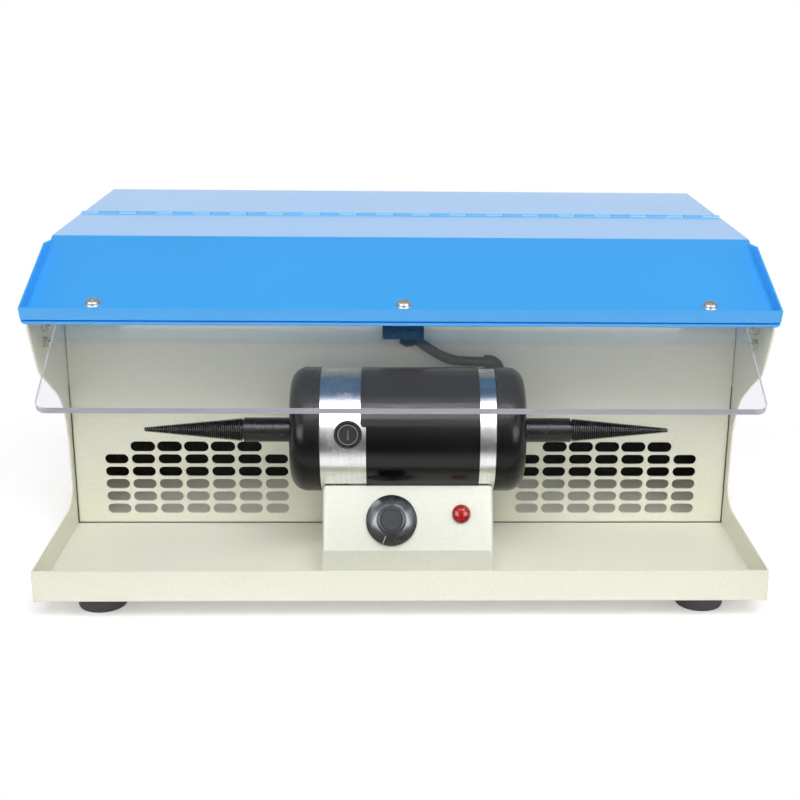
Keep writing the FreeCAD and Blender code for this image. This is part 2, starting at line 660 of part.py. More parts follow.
def multiply(owner, feature, columns, rows):
    """Repeat a slot in columns and rows and mirror the field to the other side."""
    field = owner.newObject("PartDesign::MultiTransform", "Field")
    field.Originals = [feature]
    owner.Tip = field
    steps = []
    for count, pitch, role in ((columns, "slot_pitch_wide", "X_Axis"), (rows, "slot_pitch_high", "Z_Axis")):
        if round(number(count)) > 1:
            line = owner.newObject("PartDesign::LinearPattern", "Line")
            line.Direction = (origin(owner, role), [""])
            line.setExpression("Length", bound("(%s)*(%s - 1)" % (pitch, count)))
            line.setExpression("Occurrences", bound(count))
            steps.append(line)
    other = owner.newObject("PartDesign::Mirrored", "OtherSide")
    other.MirrorPlane = (origin(owner, "YZ_Plane"), [""])
    field.Transformations = steps + [other]
    owner.Tip = field


def rear_panel():
    """Back sheet with the fan's outlet, its screw holes and the cut-out of the power inlet."""
    panel = cabinet(body("RearPanel"))
    wide = "half_in - fit_gap"
    rear = "-cab_depth"
    low, high = "floor - sheet", "side_top - sheet - fit_gap"
    pad(panel, box_outline(sketch(panel, "XZ", rear), "-(%s)" % wide, wide, low, high), "sheet")
    for side in ("1", "-1"):
        inner, outer = "%s*(%s - sheet)" % (side, wide), "%s*(%s)" % (side, wide)
        pad(panel, box_outline(sketch(panel, "XZ", rear), inner, outer, "floor + fold", high), "fold")
    pad(panel, box_outline(sketch(panel, "XZ", rear), "-(%s)" % wide, wide, high + " - sheet", high), "fold")
    holes = sketch(panel, "XZ", rear)
    ring(holes, "0", "fan_level", "fan_bore")
    for x, z in fan_hole_spots("fan_level"):
        ring(holes, x, z, "screw_dia + screw_play")
    body_half = "inlet_width*0.27"
    box_outline(holes, "inlet_off - " + body_half, "inlet_off + " + body_half,
                "inlet_level - inlet_high*0.38", "inlet_level + inlet_high*0.38")
    for side in ("-1", "1"):
        ring(holes, "inlet_off + %s*inlet_screw_pitch/2" % side, "inlet_level", "screw_dia")
    pocket(panel, holes, "sheet*3", centred=True)
    keep(panel, "rear_panel")


def fan_hole_spots(level="0"):
    """Places of the four fan screws about the fan's axis."""
    return [("%s*fan_hole_pitch/2" % a, "%s + %s*fan_hole_pitch/2" % (level, b))
            for a in ("-1", "1") for b in ("-1", "1")]


def filter_pieces():
    """Filter behind the baffle: a folded frame that stands on the tray, and the foam in it."""
    frame = cabinet(body("FilterFrame"))
    wide = "half_in - fit_gap"
    top = "side_top - sheet - fit_gap"
    at = "-filter_at"
    pad(frame, box_outline(sketch(frame, "XZ", at), "-(%s)" % wide, wide, "floor", top), "filter_deep",
        back=True)
    pocket(frame, box_outline(sketch(frame, "XZ", at), "-(%s - filter_border)" % wide,
                              wide + " - filter_border", "floor + filter_border", top + " - filter_border"))
    groove = box_outline(sketch(frame, "XZ", at + " - sheet"), "-(%s - sheet)" % wide, wide + " - sheet",
                         "floor + sheet", top + " - sheet")
    pocket(frame, groove, "filter_deep - sheet*2", back=False)
    keep(frame, "filter_frame")
    foam = cabinet(body("FilterFoam"))
    pad(foam, box_outline(sketch(foam, "XZ", at + " - sheet"), "-(%s - sheet)" % wide, wide + " - sheet",
                          "floor + sheet", top + " - sheet"), "filter_deep - sheet*2", back=True)
    keep(foam, "filter_foam")


def feet():
    """Four rubber feet, hollowed for their screws."""
    foot = body("Foot")
    hollow = "head_dia/2 + 1.5"
    seat = "foot_height - foot_floor"
    turned(foot, (("screw_dia/2", "foot_height"), ("screw_dia/2", seat), (hollow, seat), (hollow, "0"),
                  ("foot_dia/2 - foot_taper/2 - 1", "0"), ("foot_dia/2 - foot_taper/2", "1"),
                  ("foot_dia/2", "foot_height")))
    spots = [(x, "front + " + y, "0") for x, y in foot_rows()]
    group("rubber_feet", foot, spots)
    screw = pan_screw("FootScrew", "foot_screw_long")
    group("foot_screws", screw, [(x, y, seat, V(1, 0, 0), "180") for x, y, z in spots])


# ---------------------------------------------------------------- hood and lid

def hood_cover():
    """Fixed rear part of the hood: top behind the hinge, two bossed cheeks, and a rear edge."""
    cover = cabinet(body("HoodCover"))
    outer = "cover_half"
    rear = "cab_depth + fit_gap + sheet"
    start = "hinge_at + hinge_slit"
    under_lid = "sheet + run_gap"
    bend = level_meets("side_top", under_lid)
    pad(cover, outline(sketch(cover, "YZ"), (
        (start, "hood_top"), (start, "under_top"), (rear + " - sheet", "under_top"),
        (rear + " - sheet", "hood_top - cover_drop"), (rear, "hood_top - cover_drop"), (rear, "hood_top"))),
        "(%s)*2" % outer, centred=True)
    cheek = outline(sketch(cover, "YZ", outer + " - sheet"), (
        ("cheek_at", "cheek_level"), (rear, "cheek_level"), (rear, "hood_top"), (start, "hood_top"),
        (start, "side_top"), (bend, "side_top"),
        ("cheek_at", slope_line("cheek_at", under_lid))))
    right = pad(cover, cheek, "sheet")
    disc = sketch(cover, "YZ", "cab_width/2 + fit_gap")
    for level in cover_bolt_levels():
        ring(disc, "cover_bolt_at", level, "boss_dia")
    boss = pad(cover, disc, "cover_half - sheet - cab_width/2 - fit_gap")
    mirror(cover, [right, boss])
    holes = sketch(cover, "YZ")
    for level in cover_bolt_levels():
        ring(holes, "cover_bolt_at", level, "screw_dia + screw_play")
    pocket(cover, holes, "cab_width*2", centred=True)
    far = number(outer)
    edges = along(V(0, 1, 0), (far, None, number("hood_top")), (-far, None, number("hood_top")))
    round_edges(cover, "fold_round", edges)
    round_edges(cover, "cheek_round", along(V(1, 0, 0), (None, number("cheek_at"), number("cheek_level"))))
    keep(cover, "hood_cover")


def cover_fasteners():
    """Bolts from outside through cheek and side panel, with nuts inside."""
    bolt = pan_screw("CoverBolt", "cover_half - half_in + nut_high + screw_end")
    nut = hex_nut("CoverNut")
    heads, nuts = [], []
    for side, turn in (("1", "90"), ("-1", "-90")):
        for level in cover_bolt_levels():
            spot = ("front + cover_bolt_at", level)
            heads.append(("%s*cover_half" % side, *spot, V(0, 1, 0), turn))
            nuts.append(("%s*(half_in - nut_high)" % side, *spot, V(0, 1, 0), turn))
    group("cover_bolts", bolt, heads)
    group("cover_nuts", nut, nuts)


def lid_panel():
    """Flip-up lid: level strip behind the bend, slope in front of it, rim turned up on three sides."""
    lid = slope(body("LidPanel"))
    strip = "hinge_at - hinge_slit - bend_at"
    inside = "sheet*tan(slope_angle/2)"
    pad(lid, outline(sketch(lid, "YZ"), (
        ("0", "0"), ("-slope_length", "0"), ("-slope_length", "-sheet"), (inside, "-sheet"),
        ("(%s)*cos(slope_angle) - sheet*sin(slope_angle)" % strip,
         "-(%s)*sin(slope_angle) - sheet*cos(slope_angle)" % strip),
        ("(%s)*cos(slope_angle)" % strip, "-(%s)*sin(slope_angle)" % strip))), "lid_width", centred=True)
    rim = outline(sketch(lid, "YZ", "lid_width/2 - sheet"), (
        ("-rim_start", "0"), ("-rim_lead", "rim_height"), ("-slope_length", "rim_height"),
        ("-slope_length", "-sheet"), ("-rim_start", "-sheet")))
    mirror(lid, [pad(lid, rim, "sheet")])
    pad(lid, box_outline(sketch(lid, "YZ"), "-slope_length", "sheet - slope_length", "-sheet", "rim_height"),
        "lid_width", centred=True)
    pocket(lid, lid_screw_holes(lid), "sheet*6", centred=True)
    fronts = [V(1, 0, 0), V(0, 1, 0)]
    half, low = number("lid_width/2"), -number("sheet")
    round_edges(lid, "fold_round", lambda edge:
                along(fronts[0], (None, -number("slope_length"), low))(edge)
                or along(fronts[1], (half, None, low), (-half, None, low))(edge)
                and edge.CenterOfMass.y < -10)
    keep(lid, "lid_panel")


def lid_screw_holes(owner):
    """Clearance holes of the lid screws, drawn in the slope frame."""
    holes = sketch(owner, "XY")
    for off in ("-lid_screw_off", "0", "lid_screw_off"):
        ring(holes, off, "-lid_screw_at", "screw_dia + screw_play")
    return holes


def lid_bar():
    """Flat bar with mitred ends under the lid's front edge."""
    bar = slope(body("LidBar"))
    low = "-sheet - bar_gap - bar_thick"
    pad(bar, outline(sketch(bar, "XZ", "slope_length - bar_width"), (
        ("-lid_width/2", "-sheet - bar_gap"), ("bar_thick - lid_width/2", low),
        ("lid_width/2 - bar_thick", low), ("lid_width/2", "-sheet - bar_gap"))), "bar_width")
    pocket(bar, lid_screw_holes(bar), "sheet*10", centred=True)
    keep(bar, "lid_bar")


def splash_shield():
    """Clear sheet under the bar: a flange along the slope, a heat bend and a steeper blade."""
    shield = slope(body("Shield"))
    top = "-shield_drop"
    steep = "shield_tilt"
    half = "shield_thick*tan(shield_tilt/2)"
    end_y = "-shield_bend - shield_blade*cos(%s)" % steep
    end_z = "%s - shield_blade*sin(%s)" % (top, steep)
    pad(shield, outline(sketch(shield, "YZ"), (
        ("shield_lap - shield_bend", top), ("-shield_bend", top), (end_y, end_z),
        (end_y + " + shield_thick*sin(%s)" % steep, end_z + " - shield_thick*cos(%s)" % steep),
        ("-shield_bend + " + half, top + " - shield_thick"),
        ("shield_lap - shield_bend", top + " - shield_thick"))), "shield_width", centred=True)
    pocket(shield, lid_screw_holes(shield), "shield_thick*10", centred=True)
    across = V(0, number("sin(shield_tilt)"), -number("cos(shield_tilt)"))
    round_edges(shield, "shield_round", lambda edge: along(across, (None, None, None))(edge)
                and edge.CenterOfMass.y < number(end_y) + 3)
    bends = ((None, -number("shield_bend"), number(top)),
             (None, number("-shield_bend + " + half), number(top + " - shield_thick")))
    round_edges(shield, "shield_bend_round", along(V(1, 0, 0), *bends))
    keep(shield, "splash_shield")


def lid_fasteners():
    """Screws, washers and nuts that clamp shield and bar under the lid."""
    offs = ("-lid_screw_off", "0", "lid_screw_off")
    tilt = (V(1, 0, 0), "slope_angle")
    under = "-(shield_drop + shield_thick)"
    washer = body("Washer")
    turned(washer, (("screw_dia/2 + screw_play/2", "0"), ("washer_dia/2", "0"),
                    ("washer_dia/2", "washer_thick"), ("screw_dia/2 + screw_play/2", "washer_thick")))
    group("shield_washers", washer, [(*slope_spot(x, "lid_screw_at", "0"), *tilt) for x in offs])
    screw = pan_screw("LidScrew", "washer_thick + shield_drop + shield_thick + nut_high + screw_end")
    group("shield_screws", screw, [(*slope_spot(x, "lid_screw_at", "washer_thick"), *tilt) for x in offs])
    group("shield_nuts", hex_nut("LidNut"),
          [(*slope_spot(x, "lid_screw_at", under + " - nut_high"), *tilt) for x in offs])


def hinge():
    """Piano hinge across the whole hood: two leaves with interleaved knuckles on one pin."""
    for label, way, first in (("hinge_leaf_rear", 1, 0), ("hinge_leaf_lid", -1, 1)):
        leaf = place(body("HingeLeaf"), "0", "front + hinge_at", "hinge_level")
        drop = "hinge_rise + sheet"
        edge = "%d*leaf_width" % way
        plate = box_outline(sketch(leaf, "YZ"), "0" if way > 0 else edge, edge if way > 0 else "0",
                            "-(%s) - leaf_thick" % drop, "-(%s)" % drop)
        pad(leaf, plate, "cab_width - run_gap", centred=True)
        pad(leaf, ring(sketch(leaf, "YZ"), "0", "0", "knuckle_dia"), "lid_width", centred=True)
        pocket(leaf, ring(sketch(leaf, "YZ"), "0", "0", "pin_dia + pin_fit"), "lid_width*2", centred=True)
        clear = "%d*(hinge_slit + 0.1)" % way
        back = "%d*(-knuckle_dia)" % way
        start = "-lid_width/2 + knuckle_pitch*%d - knuckle_gap/2" % (1 - first)
        notch = sketch(leaf, "XY")
        outline(notch, ((start, back), (start + " + knuckle_pitch + knuckle_gap", back),
                        (start + " + knuckle_pitch + knuckle_gap", clear), (start, clear)))
        cut = pocket(leaf, notch, "knuckle_dia*3", centred=True)
        line = leaf.newObject("PartDesign::LinearPattern", "Knuckles")
        line.Originals = [cut]
        line.Direction = (origin(leaf, "X_Axis"), [""])
        count = "floor(knuckle_count/2)" if first == 0 else "ceil(knuckle_count/2)"
        line.setExpression("Length", "2*Worked.knuckle_pitch*(%s - 1)" % bound_count(count))
        line.setExpression("Occurrences", bound_count(count))
        leaf.Tip = line
        keep(leaf, label)
    rod = place(body("HingePin"), "-lid_width/2", "front + hinge_at", "hinge_level", V(0, 1, 0), "90")
    pad(rod, ring(sketch(rod, "XY"), "0", "0", "pin_dia"), "lid_width")
    keep(rod, "hinge_pin")


def bound_count(text):
    """Return a count's expression with its size bound and its rounding function kept."""
    return re.sub(r"knuckle_count", "Sizes.knuckle_count", text)


# ---------------------------------------------------------------- motor

def motor_tube():
    """Steel tube of the motor, drilled for the brush holders and the mounting screws."""
    tube = body("Tube")
    inner = "tube_r - tube_wall"
    long = "cap_seam + tube_lap"
    turned(tube, ((inner, "-(%s)" % long), ("tube_r", "-(%s)" % long), ("tube_r", long), (inner, long)))
    holes = sketch(tube, "YZ")
    for spot in mount_screw_spots():
        ring(holes, "0", "%s - motor_off" % spot, "screw_dia")
    pocket(tube, holes, "tube_dia", back=True)
    cutter = DOC.addObject("Part::Cylinder", "BrushDrill")
    cutter.setExpression("Radius", bound("holder_dia/2"))
    cutter.setExpression("Height", bound("tube_dia*2"))
    place(cutter, "tube_dia*sin(brush_angle)", "tube_dia*cos(brush_angle)", "brush_at", V(0, 0, 1), "0")
    aim = FreeCAD.Rotation(V(0, 0, 1), V(-number("sin(brush_angle)"), -number("cos(brush_angle)"), 0))
    cutter.Placement = FreeCAD.Placement(cutter.Placement.Base, aim)
    housing = DOC.addObject("Part::Cut", "MotorHousing")
    housing.Base = tube
    housing.Tool = cutter
    keep(motor(housing), "motor_housing")


def mount_screw_spots():
    """Places along X of the screws from the pedestal up into the motor tube."""
    return ["pedestal_off %s pedestal_wide/4" % sign for sign in "-+"]


def end_cap(side, label):
    """Moulded end cap: skirt over the tube, rounded outer edge, bearing seat and shaft hole."""
    cap = body("EndCap")
    skirt = "end_cap_dia/2"
    seat = "bearing_dia/2"
    boss = "bearing_dia/2 + 3"
    seat_from = "end_cap_long - end_cap_wall - bearing_wide + 2"
    turned(cap, (("tube_r", "0"), (skirt, "0"), (skirt, "end_cap_long"),
                 ("shaft_dia/2 + 0.6", "end_cap_long"),
                 ("shaft_dia/2 + 0.6", seat_from + " + bearing_wide"),
                 (seat, seat_from + " + bearing_wide"),
                 (seat, seat_from), (boss, seat_from), (boss, "end_cap_long - end_cap_wall"),
                 ("tube_r - tube_wall", "end_cap_long - end_cap_wall"), ("tube_r - tube_wall", "tube_lap"),
                 ("tube_r", "tube_lap")))
    rim = number("end_cap_long")
    radius = number(skirt)
    round_edges(cap, "end_cap_round", lambda edge: len(edge.Vertexes) == 1
                and abs(edge.CenterOfMass.z - rim) < 0.01 and abs(edge.Length - 2 * math.pi * radius) < 0.1)
    if side > 0:
        place(cap, "motor_off + cap_seam", "front + motor_at", "motor_level", V(0, 1, 0), "90")
    else:
        place(cap, "motor_off - cap_seam", "front + motor_at", "motor_level", V(0, 1, 0), "-90")
    keep(cap, label)


def motor_sleeve():
    """Thin black sleeve; its left edge steps back round and below the brush cap."""
    sleeve = body("Sleeve")
    outer = "tube_r + sleeve_thick"
    turned(sleeve, (("tube_r", "sleeve_left"), (outer, "sleeve_left"),
                    (outer, "sleeve_right"), ("tube_r", "sleeve_right")))
    level = "-tube_r*sin(sleeve_step_angle)"
    step = box_outline(sketch(sleeve, "XZ"), level, "tube_dia",
                       "sleeve_left - 1", "sleeve_left + sleeve_step")
    pocket(sleeve, step, "tube_dia*2", centred=True)
    holes = sketch(sleeve, "YZ")
    for spot in mount_screw_spots():
        ring(holes, "0", "%s - motor_off" % spot, "screw_dia")
    pocket(sleeve, holes, "tube_dia", back=True)
    relief = DOC.addObject("Part::Cylinder", "CapRelief")
    relief.setExpression("Radius", bound("brush_cap_dia/2 + 1.2"))
    relief.setExpression("Height", bound("tube_dia"))
    aim = FreeCAD.Rotation(V(0, 0, 1), V(-number("sin(brush_angle)"), -number("cos(brush_angle)"), 0))
    place(relief, "0", "0", "brush_at")
    relief.Placement = FreeCAD.Placement(relief.Placement.Base, aim)
    trimmed = DOC.addObject("Part::Cut", "MotorSleeve")
    trimmed.Base = sleeve
    trimmed.Tool = relief
    keep(motor(trimmed), "motor_sleeve")


def brush_pieces():
    """Brush holders, screwed brush caps and carbon brushes, front and back."""
    aims = [("motor_off + brush_at", "front + motor_at", "motor_level", V(1, 0, 0), angle)
            for angle in ("90 - brush_angle", "270 - brush_angle")]
    start = "commutator_dia/2 + brush_gap + carbon_long*0.25"
    holder = body("Holder")
    turned(holder, (("0", start), ("holder_dia/2", start), ("holder_dia/2", "tube_r"), ("0", "tube_r")))
    channel = box_outline(sketch(holder, "XY", start), "-carbon_side/2", "carbon_side/2", "-carbon_side/2",
                          "carbon_side/2")
    pocket(holder, channel, "tube_r - (%s) - 3" % start, back=True)
    group("brush_holders", holder, aims)
    cap = body("BrushCap")
    base = "tube_r"
    top = "tube_r + brush_cap_high"
    rim = "brush_cap_dia/2"
    turned(cap, (("0", base), (rim, base), (rim, top + " - 0.7"), (rim + " - 0.7", top),
                 (rim + " - 2", top), (rim + " - 2.4", top + " - 0.5"), ("0", top + " - 0.5")))
    slot = box_outline(sketch(cap, "XY", top), "-0.6", "0.6", "-2.7", "2.7")
    pocket(cap, slot, "2")
    seat = DOC.addObject("Part::Cylinder", "CapSeat")
    seat.setExpression("Radius", bound("tube_r"))
    seat.setExpression("Height", bound("brush_cap_dia*2"))
    place(seat, "-brush_cap_dia", "0", "0", V(0, 1, 0), "90")
    fitted = DOC.addObject("Part::Cut", "FittedCap")
    fitted.Base = cap
    fitted.Tool = seat
    group("brush_caps", fitted, aims)
    carbon = body("Carbon")
    at = "commutator_dia/2 + brush_gap"
    pad(carbon, box_outline(sketch(carbon, "XY", at), "-carbon_side/2 + 0.1", "carbon_side/2 - 0.1",
                            "-carbon_side/2 + 0.1", "carbon_side/2 - 0.1"), "carbon_long")
    group("carbon_brushes", carbon, aims)


def bearings_and_magnets():
    """Two ball bearings in the end caps and two magnets inside the tube."""
    bearing = body("Bearing")
    inner, outer = "shaft_dia/2 + bearing_fit/2", "bearing_dia/2"
    land = "2.2"
    turned(bearing, ((inner, "0"), (inner + " + " + land, "0"), (inner + " + " + land, "0.5"),
                     (outer + " - " + land, "0.5"), (outer + " - " + land, "0"), (outer, "0"),
                     (outer, "bearing_wide"), (outer + " - " + land, "bearing_wide"),
                     (outer + " - " + land, "bearing_wide - 0.5"),
                     (inner + " + " + land, "bearing_wide - 0.5"),
                     (inner + " + " + land, "bearing_wide"), (inner, "bearing_wide")))
    seat_from = "cap_seam + end_cap_long - end_cap_wall - bearing_wide + 2"
    group("motor_bearings", bearing, [
        ("motor_off + %s*(%s)" % (side, seat_from), "front + motor_at", "motor_level", V(0, 1, 0), turn)
        for side, turn in (("1", "90"), ("-1", "-90"))])
    magnet = body("Magnet")
    inside, outside = "armature_dia/2 + magnet_gap", "tube_r - tube_wall"
    turned(magnet, ((inside, "-armature_long/2"), (outside, "-armature_long/2"),
                    (outside, "armature_long/2"), (inside, "armature_long/2")), "magnet_angle")
    repeat_around(magnet, magnet.Tip, "2")
    keep(armature(magnet), "motor_magnets")


def rotor():
    """Everything that turns: shaft, laminated core, coil ends, commutator."""
    shaft = body("Shaft")
    reach = "cap_face + spindle_gap + spindle_socket - 0.5"
    thick = "shaft_dia/2 + 2"
    turned(shaft, (("0", "-(%s)" % reach), ("shaft_dia/2 - 0.5", "-(%s)" % reach),
                   ("shaft_dia/2", "0.5 - (%s)" % reach), ("shaft_dia/2", "-cap_seam - 6"),
                   (thick, "-cap_seam - 6"), (thick, "cap_seam + 6"), ("shaft_dia/2", "cap_seam + 6"),
                   ("shaft_dia/2", "(%s) - 0.5" % reach), ("shaft_dia/2 - 0.5", reach), ("0", reach)))
    keep(motor(shaft), "rotor_shaft")

    core = body("Core")
    drawing = ring(sketch(core, "XY", "-armature_long/2"), "0", "0", "armature_dia")
    ring(drawing, "0", "0", "shaft_dia + 4")
    pad(core, drawing, "armature_long")
    neck = box_outline(sketch(core, "XY", "-armature_long/2"), "armature_dia/2 - 3", "armature_dia", "-1.2",
                       "1.2")
    mouth = pocket(core, neck, "armature_long", back=True)
    repeat_around(core, mouth, "armature_slots")
    well = ring(sketch(core, "XY", "-armature_long/2"), "armature_dia/2 - 7.5", "0", "10")
    root = pocket(core, well, "armature_long", back=True)
    repeat_around(core, root, "armature_slots")
    keep(armature(core), "armature_core")

    coil = body("Coil")
    low, high = "shaft_dia/2 + 3", "armature_dia/2 - 3"
    turned(coil, ((low, "armature_long/2"), (high, "armature_long/2"),
                  (high, "armature_long/2 + coil_reach*0.5"),
                  (high + " - 3", "armature_long/2 + coil_reach*0.85"),
                  (high + " - 8", "armature_long/2 + coil_reach"),
                  (low, "armature_long/2 + coil_reach*0.6")))
    mirror(coil, [coil.Tip], "XY")
    keep(armature(coil), "armature_windings")

    commutator = body("Commutator")
    bars = "commutator_dia/2"
    turned(commutator, (("shaft_dia/2 + 2", "brush_at - commutator_long/2"),
                        (bars, "brush_at - commutator_long/2"),
                        (bars, "brush_at + commutator_long/2 - 3"),
                        (bars + " + 2", "brush_at + commutator_long/2 - 3"),
                        (bars + " + 2", "brush_at + commutator_long/2"),
                        ("shaft_dia/2 + 2", "brush_at + commutator_long/2")))
    groove = box_outline(sketch(commutator, "XY", "brush_at - commutator_long/2"),
                         bars + " - 0.8", bars + " + 3", "-0.3", "0.3")
    cut = pocket(commutator, groove, "commutator_long", back=True)
    repeat_around(commutator, cut, "armature_slots*2")
    keep(motor(commutator), "commutator")


def spindles():
    """Tapered spindles on the shaft's ends, each held by two grub screws."""
    bottom = []
    for label, side, turn in (("spindle_left", "-1", "-90"), ("spindle_right", "1", "90")):
        spindle = body("Spindle")
        at = "motor_off + %s*(cap_face + spindle_gap)" % side
        place(spindle, at, "front + motor_at", "motor_level", V(0, 1, 0), turn)
        turned(spindle, (("shaft_dia/2", "0"), ("spindle_dia/2 - 0.5", "0"), ("spindle_dia/2", "0.5"),
                         ("spindle_dia/2", "spindle_plain - 0.3"), ("cone_base/2", "spindle_plain"),
                         ("cone_tip/2 + 0.3", "spindle_plain + cone_long - 1"),
                         ("cone_tip/2 - 0.4", "spindle_plain + cone_long"),
                         ("0", "spindle_plain + cone_long"),
                         ("0", "spindle_socket"), ("shaft_dia/2", "spindle_socket")))
        holes = sketch(spindle, "YZ")
        for step in range(2):
            ring(holes, "0", "grub_at + %d*grub_pitch" % step, "screw_dia")
            along_x = "motor_off + %s*(cap_face + spindle_gap + grub_at + %d*grub_pitch)" % (side, step)
            bottom.append((along_x, "front + motor_at", "motor_level", V(1, 0, 0), "180"))
        pocket(spindle, holes, "spindle_dia", back=side == "1")
        keep(spindle, label)
    grub = body("Grub")
    hexagon = [("1.15*cos(%d)" % (60 * i), "1.15*sin(%d)" % (60 * i)) for i in range(6)]
    turned(grub, (("0", "shaft_dia/2"), ("screw_dia/2", "shaft_dia/2"),
                  ("screw_dia/2", "spindle_dia/2 - 0.4"), ("0", "spindle_dia/2 - 0.4")))
    pocket(grub, outline(sketch(grub, "XY", "spindle_dia/2 - 0.4"), hexagon), "1.6")
    group("grub_screws", grub, bottom)


def pedestal():
    """Folded stand under the motor with a saddle welded on its top plate."""
    stand = cabinet(body("Pedestal"))
    left, right = "pedestal_off - pedestal_wide/2", "pedestal_off + pedestal_wide/2"
    low, high = "floor", "pedestal_top"
    wall = "pedestal_sheet"
    at = "-motor_at"
    pad(stand, outline(sketch(stand, "XZ", at), (
        (left + " - pedestal_foot", low), (left + " - pedestal_foot", low + " + " + wall),
        (left, low + " + " + wall), (left, high), (right, high), (right, low + " + " + wall),
        (right + " + pedestal_foot", low + " + " + wall), (right + " + pedestal_foot", low),
        (right + " - " + wall, low), (right + " - " + wall, high + " - " + wall),
        (left + " + " + wall, high + " - " + wall), (left + " + " + wall, low))),
        "pedestal_deep", centred=True)
    saddle = box_outline(sketch(stand, "XZ", at), left + " + 2", right + " - 2", high,
                         "motor_level - tube_r*0.9")
    pad(stand, saddle, "pedestal_deep", centred=True)
    bed = ring(sketch(stand, "YZ"), "motor_at", "motor_level", "tube_dia + sleeve_thick*2")
    pocket(stand, bed, "cab_width", centred=True)
    holes = sketch(stand, "XY", low)
    for x, y in base_screw_spots()[:4]:
        ring(holes, x, y, "screw_dia")
    for x in mount_screw_spots():
        ring(holes, x, "motor_at", "screw_dia")
    pocket(stand, holes, back=True)
    keep(stand, "motor_pedestal")


def base_screws():
    """Screws of pedestal, control box and motor, all of one kind."""
    spots = [(x, "front + " + y, "foot_height", V(1, 0, 0), "180") for x, y in base_screw_spots()]
    spots += [(x, "front + motor_at", "pedestal_top - pedestal_sheet", V(1, 0, 0), "180")
              for x in mount_screw_spots()]
    group("base_screws", pan_screw("BaseScrew", "base_screw_long"), spots)


# ---------------------------------------------------------------- control box

def control_box():
    """Folded box round the pedestal; its side walls are cut out to the motor's round."""
    box = cabinet(body("ControlBox"))
    skin = "box_sheet"
    slim = "box_sheet/cos(lean)"
    knee_in = "box_knee - box_sheet*tan(lean/2)"
    pad(box, outline(sketch(box, "YZ", "box_off"), (
        ("box_at", "floor"), ("box_at", "box_knee"), ("box_panel_at", "box_top"), ("box_back", "box_top"),
        ("box_back", "floor"))), "box_width", centred=True)
    round_edges(box, "box_round", lambda edge: edge.CenterOfMass.z > number("box_knee")
                and edge.CenterOfMass.z < number("box_top") - 1
                and abs(abs(edge.CenterOfMass.x - number("box_off")) - number("box_width/2")) < 0.01
                and edge.CenterOfMass.y < number("box_panel_at")
                or abs(edge.CenterOfMass.z - number("box_top")) < 0.01
                and abs(abs(edge.CenterOfMass.x - number("box_off")) - number("box_width/2")) < 0.01)
    pocket(box, outline(sketch(box, "YZ", "box_off"), (
        ("box_at + " + skin, "floor"), ("box_at + " + skin, knee_in),
        ("box_panel_at + " + slim, "box_top"), ("box_back - " + skin, "box_top"),
        ("box_back - " + skin, "floor"))),
        "box_width - box_sheet*2", centred=True)
    cradle = ring(sketch(box, "YZ", "box_off"), "motor_at", "motor_level",
                  "tube_dia + sleeve_thick*2 + fit_gap*2")
    pocket(box, cradle, "box_width*2", centred=True)
    for side in ("-1", "1"):
        inner = "box_off + %s*(box_width/2 - box_sheet - fold)" % side
        outer = "box_off + %s*(box_width/2 - box_sheet)" % side
        pad(box, box_outline(sketch(box, "XY", "floor"), inner, outer, "box_at + " + skin,
                             "box_back - " + skin), skin)
    holes = sketch(box, "XY", "floor")
    for x, y in base_screw_spots()[4:]:
        ring(holes, x, y, "screw_dia")
    pocket(box, holes, "box_sheet*2", back=True)
    drilled = box
    for name, off, up, bore in (("BushHole", "knob_off", "knob_up", "bush_dia"),
                                ("LampHole", "lamp_off", "lamp_up", "lamp_bore")):
        drill = DOC.addObject("Part::Cylinder", name)
        drill.setExpression("Radius", bound(bore + "/2"))
        drill.setExpression("Height", bound("box_sheet*8"))
        place(drill, *panel_spot(off, up, "-box_sheet*4"), V(1, 0, 0), "90 - lean")
        cut = DOC.addObject("Part::Cut", name + "Cut")
        cut.Base = drilled
        cut.Tool = drill
        drilled = cut
    keep(drilled, "control_box")


def speed_control():
    """Potentiometer behind the panel, its nut, its turning shaft and the knob."""
    pot = on_panel(body("Pot"), "knob_off", "knob_up")
    bush = "bush_dia/2"
    bore = "pot_shaft_dia/2 + pot_fit/2"
    turned(pot, ((bore, "-box_sheet - pot_deep"), ("pot_dia/2", "-box_sheet - pot_deep"),
                 ("pot_dia/2", "-box_sheet"), (bush, "-box_sheet"), (bush, "5"), (bore, "5")))
    keep(pot, "speed_potentiometer")
    nut = on_panel(body("PotNut"), "knob_off", "knob_up")
    corners = [("6.6*cos(%d)" % (60 * i), "6.6*sin(%d)" % (60 * i)) for i in range(6)]
    pad(nut, outline(sketch(nut, "XY"), corners), "2")
    pocket(nut, ring(sketch(nut, "XY"), "0", "0", "bush_dia"), back=True)
    keep(nut, "potentiometer_nut")
    shaft = on_panel(body("PotShaft"), "knob_off", "knob_up")
    pad(shaft, ring(sketch(shaft, "XY", "-box_sheet - pot_deep"), "0", "0", "pot_shaft_dia"),
        "box_sheet + pot_deep + knob_high - 3")
    keep(shaft, "knob_shaft")
    knob = on_panel(body("Knob"), "knob_off", "knob_up")
    low, top = "knob_gap", "knob_high"
    skirt, grip = "knob_skirt/2", "knob_grip/2"
    turned(knob, (("9", low), (skirt + " - 0.3", low), (skirt, low + " + 0.4"), (skirt, low + " + 1.3"),
                  (grip + " + 1", low + " + 4.2"), (grip, low + " + 5"), (grip, top + " - 1"),
                  (grip + " - 1", top), ("0", top), ("0", top + " - 3"), ("pot_shaft_dia/2", top + " - 3"),
                  ("pot_shaft_dia/2", "6"), ("9", "6")))
    flute = sketch(knob, "XY", top)
    ring(flute, grip + " + 0.35", "0", "1.5")
    repeat_around(knob, pocket(knob, flute, "knob_high - 6.5"), "24")
    keep(knob, "speed_knob")


